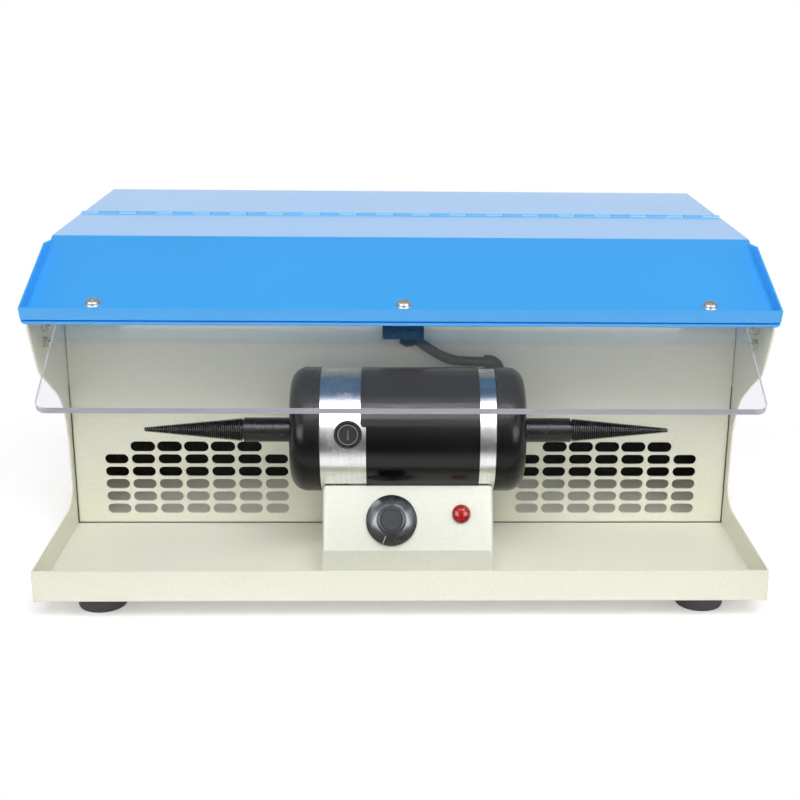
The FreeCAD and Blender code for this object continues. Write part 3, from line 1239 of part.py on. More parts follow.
def lamp():
    """Red indicator: a bezelled body through the panel and a domed lens."""
    holder = on_panel(body("LampBody"), "lamp_off", "lamp_up")
    turned(holder, (("0", "-lamp_deep"), ("lamp_bore/2 - 1", "-lamp_deep"),
                    ("lamp_bore/2 - 1", "-lamp_deep + 6"),
                    ("lamp_bore/2", "-lamp_deep + 6"), ("lamp_bore/2", "0"), ("lamp_dia/2 - 0.4", "0"),
                    ("lamp_dia/2 - 0.4", "0.6"), ("0", "0.6")))
    keep(holder, "lamp_body")
    lens = on_panel(body("LampLens"), "lamp_off", "lamp_up")
    profile = [("0", "0.6"), ("lamp_dia/2", "0.6"), ("lamp_dia/2", "1.8")]
    profile += [("lamp_dia/2*cos(%d)" % a, "1.8 + 2.6*sin(%d)" % a) for a in (20, 40, 60, 75)]
    turned(lens, tuple(profile) + (("0", "1.8 + 2.6"),))
    keep(lens, "lamp_lens")


def electronics():
    """Speed-control board upright on standoffs beside the pedestal."""
    board = body("Board")
    place(board, "box_off - box_width/2 + box_sheet + board_stand", "front + motor_at - board_long/2",
          "floor + fold", V(0, 0, 1), "0")
    pad(board, box_outline(sketch(board, "YZ"), "0", "board_long", "0", "board_high"), "board_thick")
    for y0, y1, z0, z1, tall in ((0.12, 0.5, 0.12, 0.53, 1.2), (0.58, 0.88, 0.15, 0.44, 0.85),
                                 (0.19, 0.38, 0.62, 0.91, 1.0), (0.54, 0.77, 0.59, 0.88, 0.7)):
        chip = box_outline(sketch(board, "YZ", "board_thick"), "board_long*%g" % y0, "board_long*%g" % y1,
                           "board_high*%g" % z0, "board_high*%g" % z1)
        pad(board, chip, "board_stand*%g" % tall)
    keep(board, "control_board")
    post = body("Standoff")
    pad(post, ring(sketch(post, "XY"), "0", "0", "5"), "board_stand")
    group("board_standoffs", post, [
        ("box_off - box_width/2 + box_sheet", "front + motor_at - board_long/2 + " + y,
         "floor + fold + " + z, V(0, 1, 0), "90")
        for y in ("4", "board_long - 4") for z in ("3", "board_high - 3")])


# ---------------------------------------------------------------- motor lead

LEAD_ROUTE = ((9.3, 114.2, 151.2), (19.7, 109.5, 145), (31.5, 104.6, 140.4))


def lead_points():
    """Route of the lead: chosen points from the gland nut, then straight into the boot's mouth."""
    front = number("front")
    points = [V(x, y + front, z) for x, y, z in LEAD_ROUTE]
    out = number("end_cap_dia/2 + boot_rise")
    y = number("front + motor_at") + out * number("sin(boot_angle)")
    z = number("motor_level") + out * number("cos(boot_angle)")
    return points + [V(number("boot_at") - 10.5, y, z), V(number("boot_at"), y, z)]


def route_wire(points):
    """Straight runs joined by tangent arcs as large as the runs allow; prints the radii."""
    edges, radii = [], []
    start = points[0]
    for before, corner, after in zip(points, points[1:], points[2:]):
        into, out = (corner - before).normalize(), (after - corner).normalize()
        half_turn = math.acos(max(-1.0, min(1.0, into * out))) / 2
        cut = 0.45 * min((corner - before).Length, (after - corner).Length)
        radii.append(cut / math.tan(half_turn))
        first, last = corner - into * cut, corner + out * cut
        middle = corner + (out - into).normalize() * (radii[-1] / math.cos(half_turn) - radii[-1])
        edges.append(Part.LineSegment(start, first).toShape())
        edges.append(Part.Arc(first, middle, last).toShape())
        start = last
    edges.append(Part.LineSegment(start, points[-1]).toShape())
    print("lead radii", [round(radius, 1) for radius in radii])
    return Part.Wire(edges)


def motor_lead():
    """Lead between gland and motor, held at both ends."""
    points = lead_points()
    wire = route_wire(points)
    radius = number("lead_dia/2")
    section = Part.Wire([Part.Circle(points[0], points[1] - points[0], radius).toShape()])
    tube = wire.makePipeShell([section], True, False)
    if not tube.Solids:
        tube = Part.makeSolid(tube)
    print("lead length %.1f, volume over section times length %.4f"
          % (wire.Length, tube.Volume / (math.pi * radius ** 2 * wire.Length)))
    lead = DOC.addObject("Part::Feature", "MotorLead")
    lead.Shape = tube
    keep(lead, "motor_lead")


def gland():
    """Gland block on the baffle and its nut, which aims the lead down to the motor."""
    block = cabinet(body("GlandBlock"))
    pad(block, box_outline(sketch(block, "XZ", "-baffle_at"), "-gland_width/2", "gland_width/2",
                           "gland_level", "gland_level + gland_high"), "gland_deep")
    front = number("gland_deep")
    round_edges(block, "2", lambda edge: edge.CenterOfMass.y < number("baffle_at") - front / 2)
    nipple = ring(sketch(block, "XZ", "-baffle_at"), "0", "gland_level + gland_high*0.6", "lead_dia*1.5")
    pad(block, nipple, "sheet + 4", back=True)
    points = lead_points()
    aim = (points[1] - points[0]).normalize()
    bore = DOC.addObject("Part::Cylinder", "GlandBore")
    bore.setExpression("Radius", bound("lead_dia/2 + fit_gap"))
    bore.setExpression("Height", bound("gland_nut_long"))
    bore.Placement = FreeCAD.Placement(points[0], FreeCAD.Rotation(V(0, 0, 1), aim))
    bored = DOC.addObject("Part::Cut", "GlandBlockCut")
    bored.Base = block
    bored.Tool = bore
    keep(bored, "gland_block")
    nut = body("GlandNut")
    hole = "lead_dia/2 - 1"
    wide = "gland_nut_dia/2"
    turned(nut, (("0", "-gland_nut_long"), (wide, "-gland_nut_long"), (wide, "-gland_nut_long*0.45"),
                 (wide + " - 0.8", "-gland_nut_long*0.35"), (hole + " + 2.6", "0"), ("0", "0")))
    flat = box_outline(sketch(nut, "XY", "-gland_nut_long"), wide + " - 0.7", wide + " + 2", "-1", "1")
    repeat_around(nut, pocket(nut, flat, "gland_nut_long*0.55", back=True), "12")
    nut.Placement = FreeCAD.Placement(points[0], FreeCAD.Rotation(V(0, 0, 1), aim))
    trimmed = DOC.addObject("Part::Cut", "GlandNutCut")
    trimmed.Base = nut
    trimmed.Tool = block
    keep(trimmed, "gland_nut")


def lead_boot():
    """Rubber elbow over the lead where it enters the right end cap."""
    boot = body("Boot")
    place(boot, "boot_at", "front + motor_at", "motor_level", V(1, 0, 0), "-boot_angle")
    out = "end_cap_dia/2 + boot_rise"
    straight = "3"
    mouth = ring(sketch(boot, "YZ"), "0", out, "boot_dia")
    path = sketch(boot, "XZ")
    run, drop, radius = number(straight), number(out), number("boot_round")
    line = path.addGeometry(Part.LineSegment(V(0, drop, 0), V(run, drop, 0)), False)
    elbow = Part.ArcOfCircle(Part.Circle(V(run, drop - radius, 0), V(0, 0, 1), radius), 0, math.pi / 2)
    arc = path.addGeometry(elbow, False)
    pin(path, line, 1, "0", out)
    pin(path, line, 2, straight, out)
    path.addConstraint(Sketcher.Constraint("Coincident", line, 2, arc, 2))
    pin(path, arc, 3, straight, out + " - boot_round")
    hold(path, "DistanceY", out + " - boot_round", -1, 1, arc, 1)
    elbow_pipe = boot.newObject("PartDesign::AdditivePipe", "Elbow")
    elbow_pipe.Profile = mouth
    elbow_pipe.Spine = path
    collar = ring(sketch(boot, "XY", "end_cap_dia/2 - 4"), straight + " + boot_round", "0", "boot_dia + 3")
    pad(boot, collar, "5")
    seat = DOC.addObject("Part::Cylinder", "BootSeat")
    seat.setExpression("Radius", bound("end_cap_dia/2"))
    seat.setExpression("Height", bound("motor_length"))
    place(seat, "0", "front + motor_at", "motor_level", V(0, 1, 0), "90")
    trimmed = DOC.addObject("Part::Cut", "BootCut")
    trimmed.Base = boot
    trimmed.Tool = seat
    keep(trimmed, "lead_boot")


# ---------------------------------------------------------------- fan and inlet

def fan_housing():
    """Square fan frame with a round duct, three struts and a hub plate that carries the bearing tube."""
    frame = on_fan(body("FanHousing"))
    half = "fan_side/2"
    for at in ("0", "fan_deep - fan_flange"):
        pad(frame, box_outline(sketch(frame, "XY", at), "-" + half, half, "-" + half, half), "fan_flange")
    pad(frame, ring(sketch(frame, "XY"), "0", "0", "fan_bore + 3.4"), "fan_deep")
    side = number(half)
    corners = [(a * side, b * side, None) for a in (-1, 1) for b in (-1, 1)]
    round_edges(frame, "4", along(V(0, 0, 1), *corners))
    pocket(frame, ring(sketch(frame, "XY"), "0", "0", "fan_bore"), back=True)
    holes = sketch(frame, "XY")
    for x, z in fan_hole_spots():
        ring(holes, x, z, "screw_dia")
    pocket(frame, holes, back=True)
    strut = pad(frame, box_outline(sketch(frame, "XY"), "fan_hub/2 - 1", "fan_bore/2 + 0.8", "-3", "3"), "3")
    repeat_around(frame, strut, "3")
    pad(frame, ring(sketch(frame, "XY"), "0", "0", "fan_hub"), "3")
    pad(frame, ring(sketch(frame, "XY"), "0", "0", "10"), "26")
    pocket(frame, ring(sketch(frame, "XY", "2"), "0", "0", "4 + pot_fit"), back=True)
    keep(frame, "fan_housing")
    coil = on_fan(body("FanCoil"))
    drawing = ring(sketch(coil, "XY", "8"), "0", "0", "fan_hub - 9")
    ring(drawing, "0", "0", "10")
    pad(coil, drawing, "14")
    slot = pocket(coil, box_outline(sketch(coil, "XY", "8"), "9", "fan_hub", "-2", "2"), "14", back=True)
    repeat_around(coil, slot, "4")
    keep(coil, "fan_coil")


def fan_impeller():
    """Cup-shaped hub with twisted blades and the pin that turns in the bearing tube."""
    wheel = body("Impeller")
    low, high = "5", "fan_deep - 5"
    hub, skin = "fan_hub/2", "2"
    turned(wheel, (("0", high), (hub + " - 2", high), (hub, high + " - 2"), (hub, low),
                   (hub + " - " + skin, low), (hub + " - " + skin, high + " - " + skin),
                   ("2", high + " - " + skin), ("2", low), ("0", low)))
    sections = []
    middle = "(%s + %s)/2" % (low, high)
    for at, chord, angle in ((hub + " - 1", "26", "48"), ("fan_bore/2 + 1", "30", "32")):
        face = sketch(wheel, "YZ", at)
        outline(face, [("%s*cos(%s) - %s*sin(%s)" % (a, angle, b, angle),
                        "%s + %s*sin(%s) + %s*cos(%s)" % (middle, a, angle, b, angle))
                       for a, b in (("-%s/2" % chord, "0"), ("0", "-1.6"), ("%s/2" % chord, "0"),
                                    ("0", "(blade_thick - 1.6)"))])
        sections.append(face)
    blade = wheel.newObject("PartDesign::AdditiveLoft", "Blade")
    blade.Profile = sections[0]
    blade.Sections = [sections[1]]
    blade.Ruled = True
    repeat_around(wheel, blade, "blade_count")
    swept = DOC.addObject("Part::Cylinder", "SweptSpace")
    swept.setExpression("Radius", bound("blade_tip_r"))
    swept.setExpression("Height", bound("fan_deep - 8"))
    place(swept, "0", "0", "4")
    trimmed = DOC.addObject("Part::Common", "ImpellerTrim")
    trimmed.Base = wheel
    trimmed.Tool = swept
    keep(on_fan(trimmed), "fan_impeller")


def fan_guard():
    """Wire guard behind the fan: rings, two crossed bars and four eyelets."""
    wire = "guard_wire/2"
    pieces = []
    for dia in ("fan_hub*0.75", "fan_hub*1.45", "fan_hub*2.15", "fan_bore - 4"):
        hoop = DOC.addObject("Part::Torus", "Hoop")
        hoop.setExpression("Radius1", bound("(%s)/2" % dia))
        hoop.setExpression("Radius2", bound(wire))
        pieces.append(place(hoop, "0", "0", "-sheet - guard_wire*1.35"))
    for turn in ("45", "-45"):
        bar = body("GuardBar")
        pad(bar, ring(sketch(bar, "YZ"), "0", "-sheet - " + wire, "guard_wire"),
            "fan_hole_pitch*sqrt(2) - 6", centred=True)
        pieces.append(place(bar, "0", "0", "0", V(0, 0, 1), turn))
    for x, y in fan_hole_spots():
        eye = DOC.addObject("Part::Torus", "Eye")
        eye.setExpression("Radius1", bound("screw_dia/2 + screw_play + " + wire))
        eye.setExpression("Radius2", bound(wire))
        pieces.append(place(eye, x, y, "-sheet - " + wire))
    guard = DOC.addObject("Part::MultiFuse", "FanGuard")
    guard.Shapes = pieces
    keep(on_fan(guard), "fan_guard")
    screw = pan_screw("FanScrew", "guard_wire + sheet + fan_flange + 6")
    group("fan_screws", screw, [
        (x, "front + cab_depth + guard_wire", "fan_level + " + z, V(1, 0, 0), "-90")
        for x, z in fan_hole_spots()])


def power_inlet():
    """Panel-mounted power inlet with three pins and its two screws."""
    inlet = place(body("Inlet"), "inlet_off", "front + cab_depth", "inlet_level", V(1, 0, 0), "-90")
    wide, tall = "inlet_width/2", "inlet_high/2"
    pad(inlet, box_outline(sketch(inlet, "XY"), "-" + wide, wide, "-" + tall, tall), "inlet_thick")
    corner = [(a * number(wide), b * number(tall), None) for a in (-1, 1) for b in (-1, 1)]
    round_edges(inlet, "5", along(V(0, 0, 1), *corner))
    body_half, body_tall = "inlet_width*0.27 - 0.2", "inlet_high*0.38 - 0.2"
    pad(inlet, box_outline(sketch(inlet, "XY"), "-(%s)" % body_half, body_half,
                           "-(%s)" % body_tall, body_tall), "inlet_deep", back=True)
    socket = outline(sketch(inlet, "XY", "inlet_thick"), (
        ("-11.5", "-7.6"), ("11.5", "-7.6"), ("11.5", "3"), ("7", "7.6"), ("-7", "7.6"), ("-11.5", "3")))
    pocket(inlet, socket, "inlet_thick + inlet_deep - 3")
    holes = sketch(inlet, "XY")
    for side in ("-1", "1"):
        ring(holes, "%s*inlet_screw_pitch/2" % side, "0", "screw_dia")
    pocket(inlet, holes, "inlet_thick*2", centred=True)
    slots = sketch(inlet, "XY", "3 - inlet_deep")
    for x, y in inlet_pin_spots():
        box_outline(slots, x + " - 1", x + " + 1", y + " - 2", y + " + 2")
    pocket(inlet, slots, "4")
    keep(inlet, "power_inlet")
    pins = place(body("InletPins"), "inlet_off", "front + cab_depth", "inlet_level", V(1, 0, 0), "-90")
    drawing = sketch(pins, "XY", "-inlet_deep - 5")
    for x, y in inlet_pin_spots():
        box_outline(drawing, x + " - 1", x + " + 1", y + " - 2", y + " + 2")
    pad(pins, drawing, "inlet_deep + 3")
    keep(pins, "inlet_pins")
    screw = pan_screw("InletScrew", "inlet_thick + sheet + 4")
    group("inlet_screws", screw, [
        ("inlet_off + %s*inlet_screw_pitch/2" % side, "front + cab_depth + inlet_thick", "inlet_level",
         V(1, 0, 0), "-90") for side in ("-1", "1")])


def inlet_pin_spots():
    """Places of the three pins in the socket."""
    return ("-7", "-1.5"), ("0", "2.5"), ("7", "-1.5")


def check():
    """Stop if a feature failed or a piece is empty or invalid."""
    DOC.recompute()
    bad = [item.Name for item in DOC.Objects if "Invalid" in item.State or "Error" in item.State]
    for item in NODES:
        if item.Shape.isNull() or not item.Shape.isValid() or not item.Shape.Solids:
            bad.append(item.Label)
    if bad:
        raise RuntimeError("failed: " + ", ".join(bad))


def write():
    """Write each piece to its own STEP file."""
    os.makedirs("parts", exist_ok=True)
    for item in NODES:
        item.Shape.exportStep("parts/%s.step" % item.Label)
    box = FreeCAD.BoundBox()
    for item in NODES:
        box.add(item.Shape.BoundBox)
    print(len(NODES), "nodes, box", [round(value, 2) for value in (box.XMin, box.YMin, box.ZMin, box.XMax,
                                                                  box.YMax, box.ZMax)])


fill_sheets()
base_tray()
side_panel(-1, "side_panel_left")
side_panel(1, "side_panel_right")
baffle_panel()
rear_panel()
filter_pieces()
feet()
hood_cover()
cover_fasteners()
lid_panel()
lid_bar()
splash_shield()
lid_fasteners()
hinge()
motor_tube()
end_cap(-1, "motor_end_cap_left")
end_cap(1, "motor_end_cap_right")
motor_sleeve()
brush_pieces()
bearings_and_magnets()
rotor()
spindles()
pedestal()
base_screws()
control_box()
speed_control()
lamp()
electronics()
gland()
motor_lead()
lead_boot()
fan_housing()
fan_impeller()
fan_guard()
power_inlet()
check()
write()
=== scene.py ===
"""Dental polishing lathe, dressed: finishes, threads, screws, knob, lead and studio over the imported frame.

Lengths in the dataclasses are millimetres, and every mesh is built in metres in the frame of the machine:
+X to the right along the motor, +Y to the back, +Z up, the origin at the bottom centre.
"""
from __future__ import annotations

import json
import logging
import math
from dataclasses import dataclass, field
from enum import Enum
from typing import Sequence

import bmesh
import bpy
from mathutils import Matrix, Vector

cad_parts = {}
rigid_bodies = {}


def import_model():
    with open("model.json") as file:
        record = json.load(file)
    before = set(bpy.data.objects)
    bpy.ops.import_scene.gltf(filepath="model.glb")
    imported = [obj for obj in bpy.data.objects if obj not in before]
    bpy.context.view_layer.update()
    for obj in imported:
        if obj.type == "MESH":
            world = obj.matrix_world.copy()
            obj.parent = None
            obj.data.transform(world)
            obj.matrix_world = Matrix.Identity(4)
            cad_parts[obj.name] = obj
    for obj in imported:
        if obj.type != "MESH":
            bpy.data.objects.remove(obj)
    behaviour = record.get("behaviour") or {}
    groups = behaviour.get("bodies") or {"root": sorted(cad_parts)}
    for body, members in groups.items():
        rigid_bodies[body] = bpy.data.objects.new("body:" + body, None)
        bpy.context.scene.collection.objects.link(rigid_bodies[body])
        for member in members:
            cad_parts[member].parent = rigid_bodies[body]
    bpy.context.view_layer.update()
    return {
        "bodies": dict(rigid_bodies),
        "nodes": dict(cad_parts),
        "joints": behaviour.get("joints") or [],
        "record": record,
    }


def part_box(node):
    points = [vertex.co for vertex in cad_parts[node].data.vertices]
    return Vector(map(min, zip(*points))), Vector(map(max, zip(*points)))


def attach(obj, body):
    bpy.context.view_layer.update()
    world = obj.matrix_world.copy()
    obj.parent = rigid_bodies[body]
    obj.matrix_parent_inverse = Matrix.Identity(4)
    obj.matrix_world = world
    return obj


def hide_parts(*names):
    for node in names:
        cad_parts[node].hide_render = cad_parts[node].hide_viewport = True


LOG = logging.getLogger("polishing_lathe")
MM = 0.001
ACRYLIC = 1.49
Profile = Sequence[tuple[float, float]]
Triple = tuple[float, float, float]
Mesh = bmesh.types.BMesh
Paint = bpy.types.Material
Socket = bpy.types.NodeSocket


class Side(Enum):
    """The two ends of the machine."""

    LEFT = -1
    RIGHT = 1


class Body(Enum):
    """Bodies of the machine that pieces move with."""

    CABINET = "cabinet"
    LID = "lid"
    ROTOR = "rotor"
    KNOB = "knob"
    FAN = "fan"


# ---------------------------------------------------------------- shader wiring


def srgb(red: int, green: int, blue: int) -> tuple[float, float, float, float]:
    """Turn a screen colour into a linear one.

    Args:
        red, green, blue: channels from 0 to 255.

    Returns:
        The linear colour with full alpha.
    """
    def linear(channel: int) -> float:
        """Return one channel as linear light."""
        share = channel / 255
        return share / 12.92 if share <= 0.04045 else ((share + 0.055) / 1.055) ** 2.4

    return linear(red), linear(green), linear(blue), 1.0


class Wiring:
    """Adds and joins the nodes of one tree."""

    def __init__(self, tree: bpy.types.NodeTree) -> None:
        """Take the tree and empty it."""
        self.tree = tree
        tree.nodes.clear()

    def add(self, kind: str, values: dict[str, object] | None = None, **settings: object) -> bpy.types.Node:
        """Add a node.

        Args:
            kind: class name without its ShaderNode start.
            values: socket values or source sockets, by socket name.
            settings: properties of the node.

        Returns:
            The new node.
        """
        full = kind if kind.startswith(("Node", "Shader")) else "ShaderNode" + kind
        node = self.tree.nodes.new(full)
        for name, value in settings.items():
            setattr(node, name, value)
        for name, value in (values or {}).items():
            socket = node.inputs[name]
            if isinstance(value, Socket):
                self.tree.links.new(value, socket)
            else:
                socket.default_value = value
        return node

    def spot(self) -> Socket:
        """Return the place on the piece, in metres."""
        return self.add("TexCoord").outputs["Object"]

    def maths(self, operation: str, *values: object) -> Socket:
        """Return the result of one operation on numbers or sockets."""
        return self.add("Math", dict(enumerate(values)), operation=operation).outputs[0]

    def noise(self, place: Socket, scale: object, detail: float) -> Socket:
        """Return a soft noise at a place."""
        return self.add("TexNoise", {"Vector": place, "Scale": scale, "Detail": detail}).outputs["Fac"]

    def stretched(self, place: Socket, factors: object) -> Socket:
        """Return a place multiplied along each axis."""
        return self.add("VectorMath", {0: place, 1: factors}, operation="MULTIPLY").outputs[0]

    def scaled(self, colour: Socket, share: Socket) -> Socket:
        """Return a colour made lighter or darker."""
        return self.add("VectorMath", {0: colour, "Scale": share}, operation="SCALE").outputs[0]

    def blend(self, share: object, first: object, second: object) -> Socket:
        """Return a mix of two colours."""
        return self.add("Mix", {"Factor": share, "A": first, "B": second}, data_type="RGBA").outputs["Result"]

    def remap(self, value: Socket, low: object, high: object, start: float = 0.3, end: float = 0.7) -> Socket:
        """Move a value from one range to another.

        Args:
            value: the value.
            low, high: ends of the new range.
            start, end: ends of the old range; the first ones are where most of a noise lies.

        Returns:
            The new value.
        """
        return self.add("MapRange", {"Value": value, "From Min": start, "From Max": end, "To Min": low,
                                     "To Max": high}).outputs[0]

    def finish(self, shader: bpy.types.Node, kind: str = "OutputMaterial") -> None:
        """Lead a shader to the tree's output."""
        self.tree.links.new(shader.outputs[0], self.add(kind).inputs["Surface"])

    def deliver(self, out: bpy.types.Node, *sources: Socket) -> None:
        """Lead sockets to a group's output, in the order of its own."""
        for source, target in zip(sources, out.inputs):
            self.tree.links.new(source, target)


def new_group(name: str, inputs: dict[str, tuple[str, object]], outputs: dict[str, str]
              ) -> tuple[Wiring, bpy.types.Node, bpy.types.Node]:
    """Start a shader node group with named sockets.

    Args:
        name: the group's name.
        inputs: socket type and default by socket name.
        outputs: socket type by socket name.

    Returns:
        The group's wiring, its input node and its output node.
    """
    group = bpy.data.node_groups.new(name, "ShaderNodeTree")
    for label, (kind, default) in inputs.items():
        socket = group.interface.new_socket(name=label, in_out="INPUT", socket_type="NodeSocket" + kind)
        socket.default_value = default
    for label, kind in outputs.items():
        group.interface.new_socket(name=label, in_out="OUTPUT", socket_type="NodeSocket" + kind)
    wiring = Wiring(group)
    return wiring, wiring.add("NodeGroupInput"), wiring.add("NodeGroupOutput")


def new_material(name: str) -> tuple[Paint, Wiring]:
    """Start a material.

    Args:
        name: its name.

    Returns:
        The material and its empty wiring.
    """
    material = bpy.data.materials.new(name)
    material.use_nodes = True
    return material, Wiring(material.node_tree)


SURFACE_OUT = {"Colour": "Color", "Roughness": "Float", "Height": "Float"}


def coat_group() -> None:
    """Powder coat: fine pebbled skin, slow colour drift and specks."""
    w, given, out = new_group("Powder coat", {
        "Colour": ("Color", (0.8, 0.8, 0.8, 1)), "Pebble": ("Float", 900.0), "Drift": ("Float", 0.05),
        "Gloss": ("Float", 0.4)}, SURFACE_OUT)
    colour, pebble, drift, gloss = given.outputs[:4]
    spot = w.spot()
    fine = w.noise(spot, pebble, 2.0)
    slow = w.noise(spot, 9.0, 3.0)
    cells = w.add("TexVoronoi", {"Vector": spot, "Scale": pebble}, feature="SMOOTH_F1").outputs["Distance"]
    shade = w.remap(slow, w.maths("SUBTRACT", 1.0, drift), 1.0)
    tint = w.scaled(colour, w.maths("MULTIPLY", shade, w.remap(fine, 0.965, 1.02)))
    rough = w.add("Mix", {"Factor": 0.06, "A": gloss, "B": w.remap(slow, gloss, 1.0)}, data_type="FLOAT")
    w.deliver(out, tint, rough.outputs["Result"], w.maths("ADD", fine, cells))


def grain_group() -> None:
    """Drawn or turned metal: lines in one direction with slow smears."""
    w, given, out = new_group("Metal grain", {
        "Colour": ("Color", (0.8, 0.8, 0.8, 1)), "Stretch": ("Vector", (1.0, 1.0, 1.0)),
        "Lines": ("Float", 2600.0), "Gloss": ("Float", 0.3), "Smear": ("Float", 0.12)}, SURFACE_OUT)
    colour, stretch, fineness, gloss, smear = given.outputs[:5]
    spot = w.spot()
    lines = w.noise(w.stretched(spot, stretch), fineness, 3.0)
    swing = w.remap(w.noise(spot, 70.0, 4.0), -1.0, 1.0)
    w.deliver(out, w.scaled(colour, w.remap(lines, 0.86, 1.05)), w.maths("MULTIPLY_ADD", swing, smear, gloss), lines)


def skin_group() -> None:
    """Moulded plastic or rubber: fine sparked skin, handling marks and dust."""
    w, given, out = new_group("Moulded skin", {
        "Colour": ("Color", (0.05, 0.05, 0.05, 1)), "Spark": ("Float", 1500.0), "Gloss": ("Float", 0.4),
        "Dust": ("Float", 0.15)}, SURFACE_OUT)
    colour, spark, gloss, dust = given.outputs[:4]
    spot = w.spot()
    patch = w.remap(w.noise(spot, 22.0, 3.0), 0.0, 1.0, 0.4, 0.9)
    tint = w.blend(w.maths("MULTIPLY", patch, dust), colour, (0.25, 0.25, 0.24, 1))
    w.deliver(out, tint, w.maths("MULTIPLY_ADD", patch, 0.18, gloss), w.noise(spot, spark, 2.0))


class Grouped(Enum):
    """Effects that several finishes share."""

    COAT = "Powder coat"
    GRAIN = "Metal grain"
    SKIN = "Moulded skin"


@dataclass(frozen=True)
class Finish:
    """A surface finish made from one shared effect and a principled surface."""

    name: str
    effect: Grouped
    colour: tuple[int, int, int]
    values: dict[str, object] = field(default_factory=dict)
    surface: dict[str, object] = field(default_factory=dict)
    bump: float = 0.1
    depth: float = 0.00006

    def make(self) -> Paint:
        """Build the material.

        Returns:
            The material, ready to be put on a piece.
        """
        material, w = new_material(self.name)
        group = w.add("Group")
        group.node_tree = bpy.data.node_groups[self.effect.value]
        group.inputs["Colour"].default_value = srgb(*self.colour)
        for name, value in self.values.items():
            group.inputs[name].default_value = value
        bump = w.add("Bump", {"Strength": self.bump, "Distance": self.depth, "Height": group.outputs["Height"]})
        w.finish(w.add("BsdfPrincipled", {
            "Base Color": group.outputs["Colour"], "Roughness": group.outputs["Roughness"],
            "Normal": bump.outputs[0], **self.surface}))
        return material


def clear_sheet() -> Paint:
    """Clear polished sheet with a faint cool body colour.

    Returns:
        A refracting material that lets light through to what lies behind it.
    """
    material, w = new_material("Clear sheet")
    wiped = w.remap(w.noise(w.spot(), 24.0, 4.0), 0.0, 0.05, 0.35, 0.75)
    glass = w.add("BsdfPrincipled", {"Base Color": srgb(248, 249, 252), "Roughness": wiped, "IOR": ACRYLIC,
                                     "Transmission Weight": 1.0})
    clear = w.add("BsdfTransparent", {"Color": srgb(244, 244, 246)})
    shadow = w.add("LightPath").outputs["Is Shadow Ray"]
    w.finish(w.add("MixShader", {0: shadow, 1: glass.outputs[0], 2: clear.outputs[0]}))
    return material


def sawn_edge() -> Paint:
    """Sawn and polished edge of the clear sheet: pale, faintly lilac and half see-through.

    Returns:
        A milky material with fine saw lines along the edge.
    """
    material, w = new_material("Clear sheet edge")
    lines = w.noise(w.stretched(w.spot(), (0.05, 1.0, 1.0)), 1500.0, 3.0)
    w.finish(w.add("BsdfPrincipled", {
        "Base Color": w.blend(lines, srgb(184, 184, 200), srgb(226, 226, 236)),
        "Roughness": w.remap(lines, 0.2, 0.4, 0.0, 1.0), "IOR": ACRYLIC, "Alpha": 0.72}))
    return material


def red_lens() -> Paint:
    """Glossy red lens.

    Returns:
        A red material with painted shade: darker where the dome turns away from the eye.
    """
    material, w = new_material("Red lens")
    # Painted shade: the red darkens towards the dome's rim, where it turns away from the eye.
    away = w.add("LayerWeight", {"Blend": 0.35}).outputs["Facing"]
    cells = w.add("TexVoronoi", {"Vector": w.spot(), "Scale": 900.0}).outputs["Distance"]
    bump = w.add("Bump", {"Strength": 0.15, "Distance": 0.0002, "Height": cells})
    w.finish(w.add("BsdfPrincipled", {
        "Base Color": w.blend(away, srgb(160, 8, 12), srgb(58, 2, 5)), "Roughness": 0.12, "Coat Weight": 0.2,
        "Coat Roughness": 0.03, "Specular IOR Level": 0.35, "Normal": bump.outputs[0]}))
    return material


def open_foam() -> Paint:
    """Black open-cell filter foam.

    Returns:
        A dark material with open cells, with painted shade in the pores.
    """
    material, w = new_material("Filter foam")
    cells = w.add("TexVoronoi", {"Vector": w.spot(), "Scale": 520.0}, feature="DISTANCE_TO_EDGE")
    pore_depth_and_shade = w.remap(cells.outputs["Distance"], 0.0, 1.0, 0.0, 0.25)
    bump = w.add("Bump", {"Strength": 0.8, "Distance": 0.0008, "Height": pore_depth_and_shade}, invert=True)
    # Painted shade: the pores, recessed by the bump, are darker than the cell walls.
    w.finish(w.add("BsdfPrincipled", {"Base Color": w.blend(pore_depth_and_shade, srgb(34, 34, 34), srgb(8, 8, 8)),
                                      "Roughness": 0.95, "Normal": bump.outputs[0]}))
    return material


SATIN = {"Coat Weight": 0.2, "Coat Roughness": 0.35}
LACQUER = {"Coat Weight": 0.8, "Coat Roughness": 0.2}
METAL = {"Metallic": 1.0}


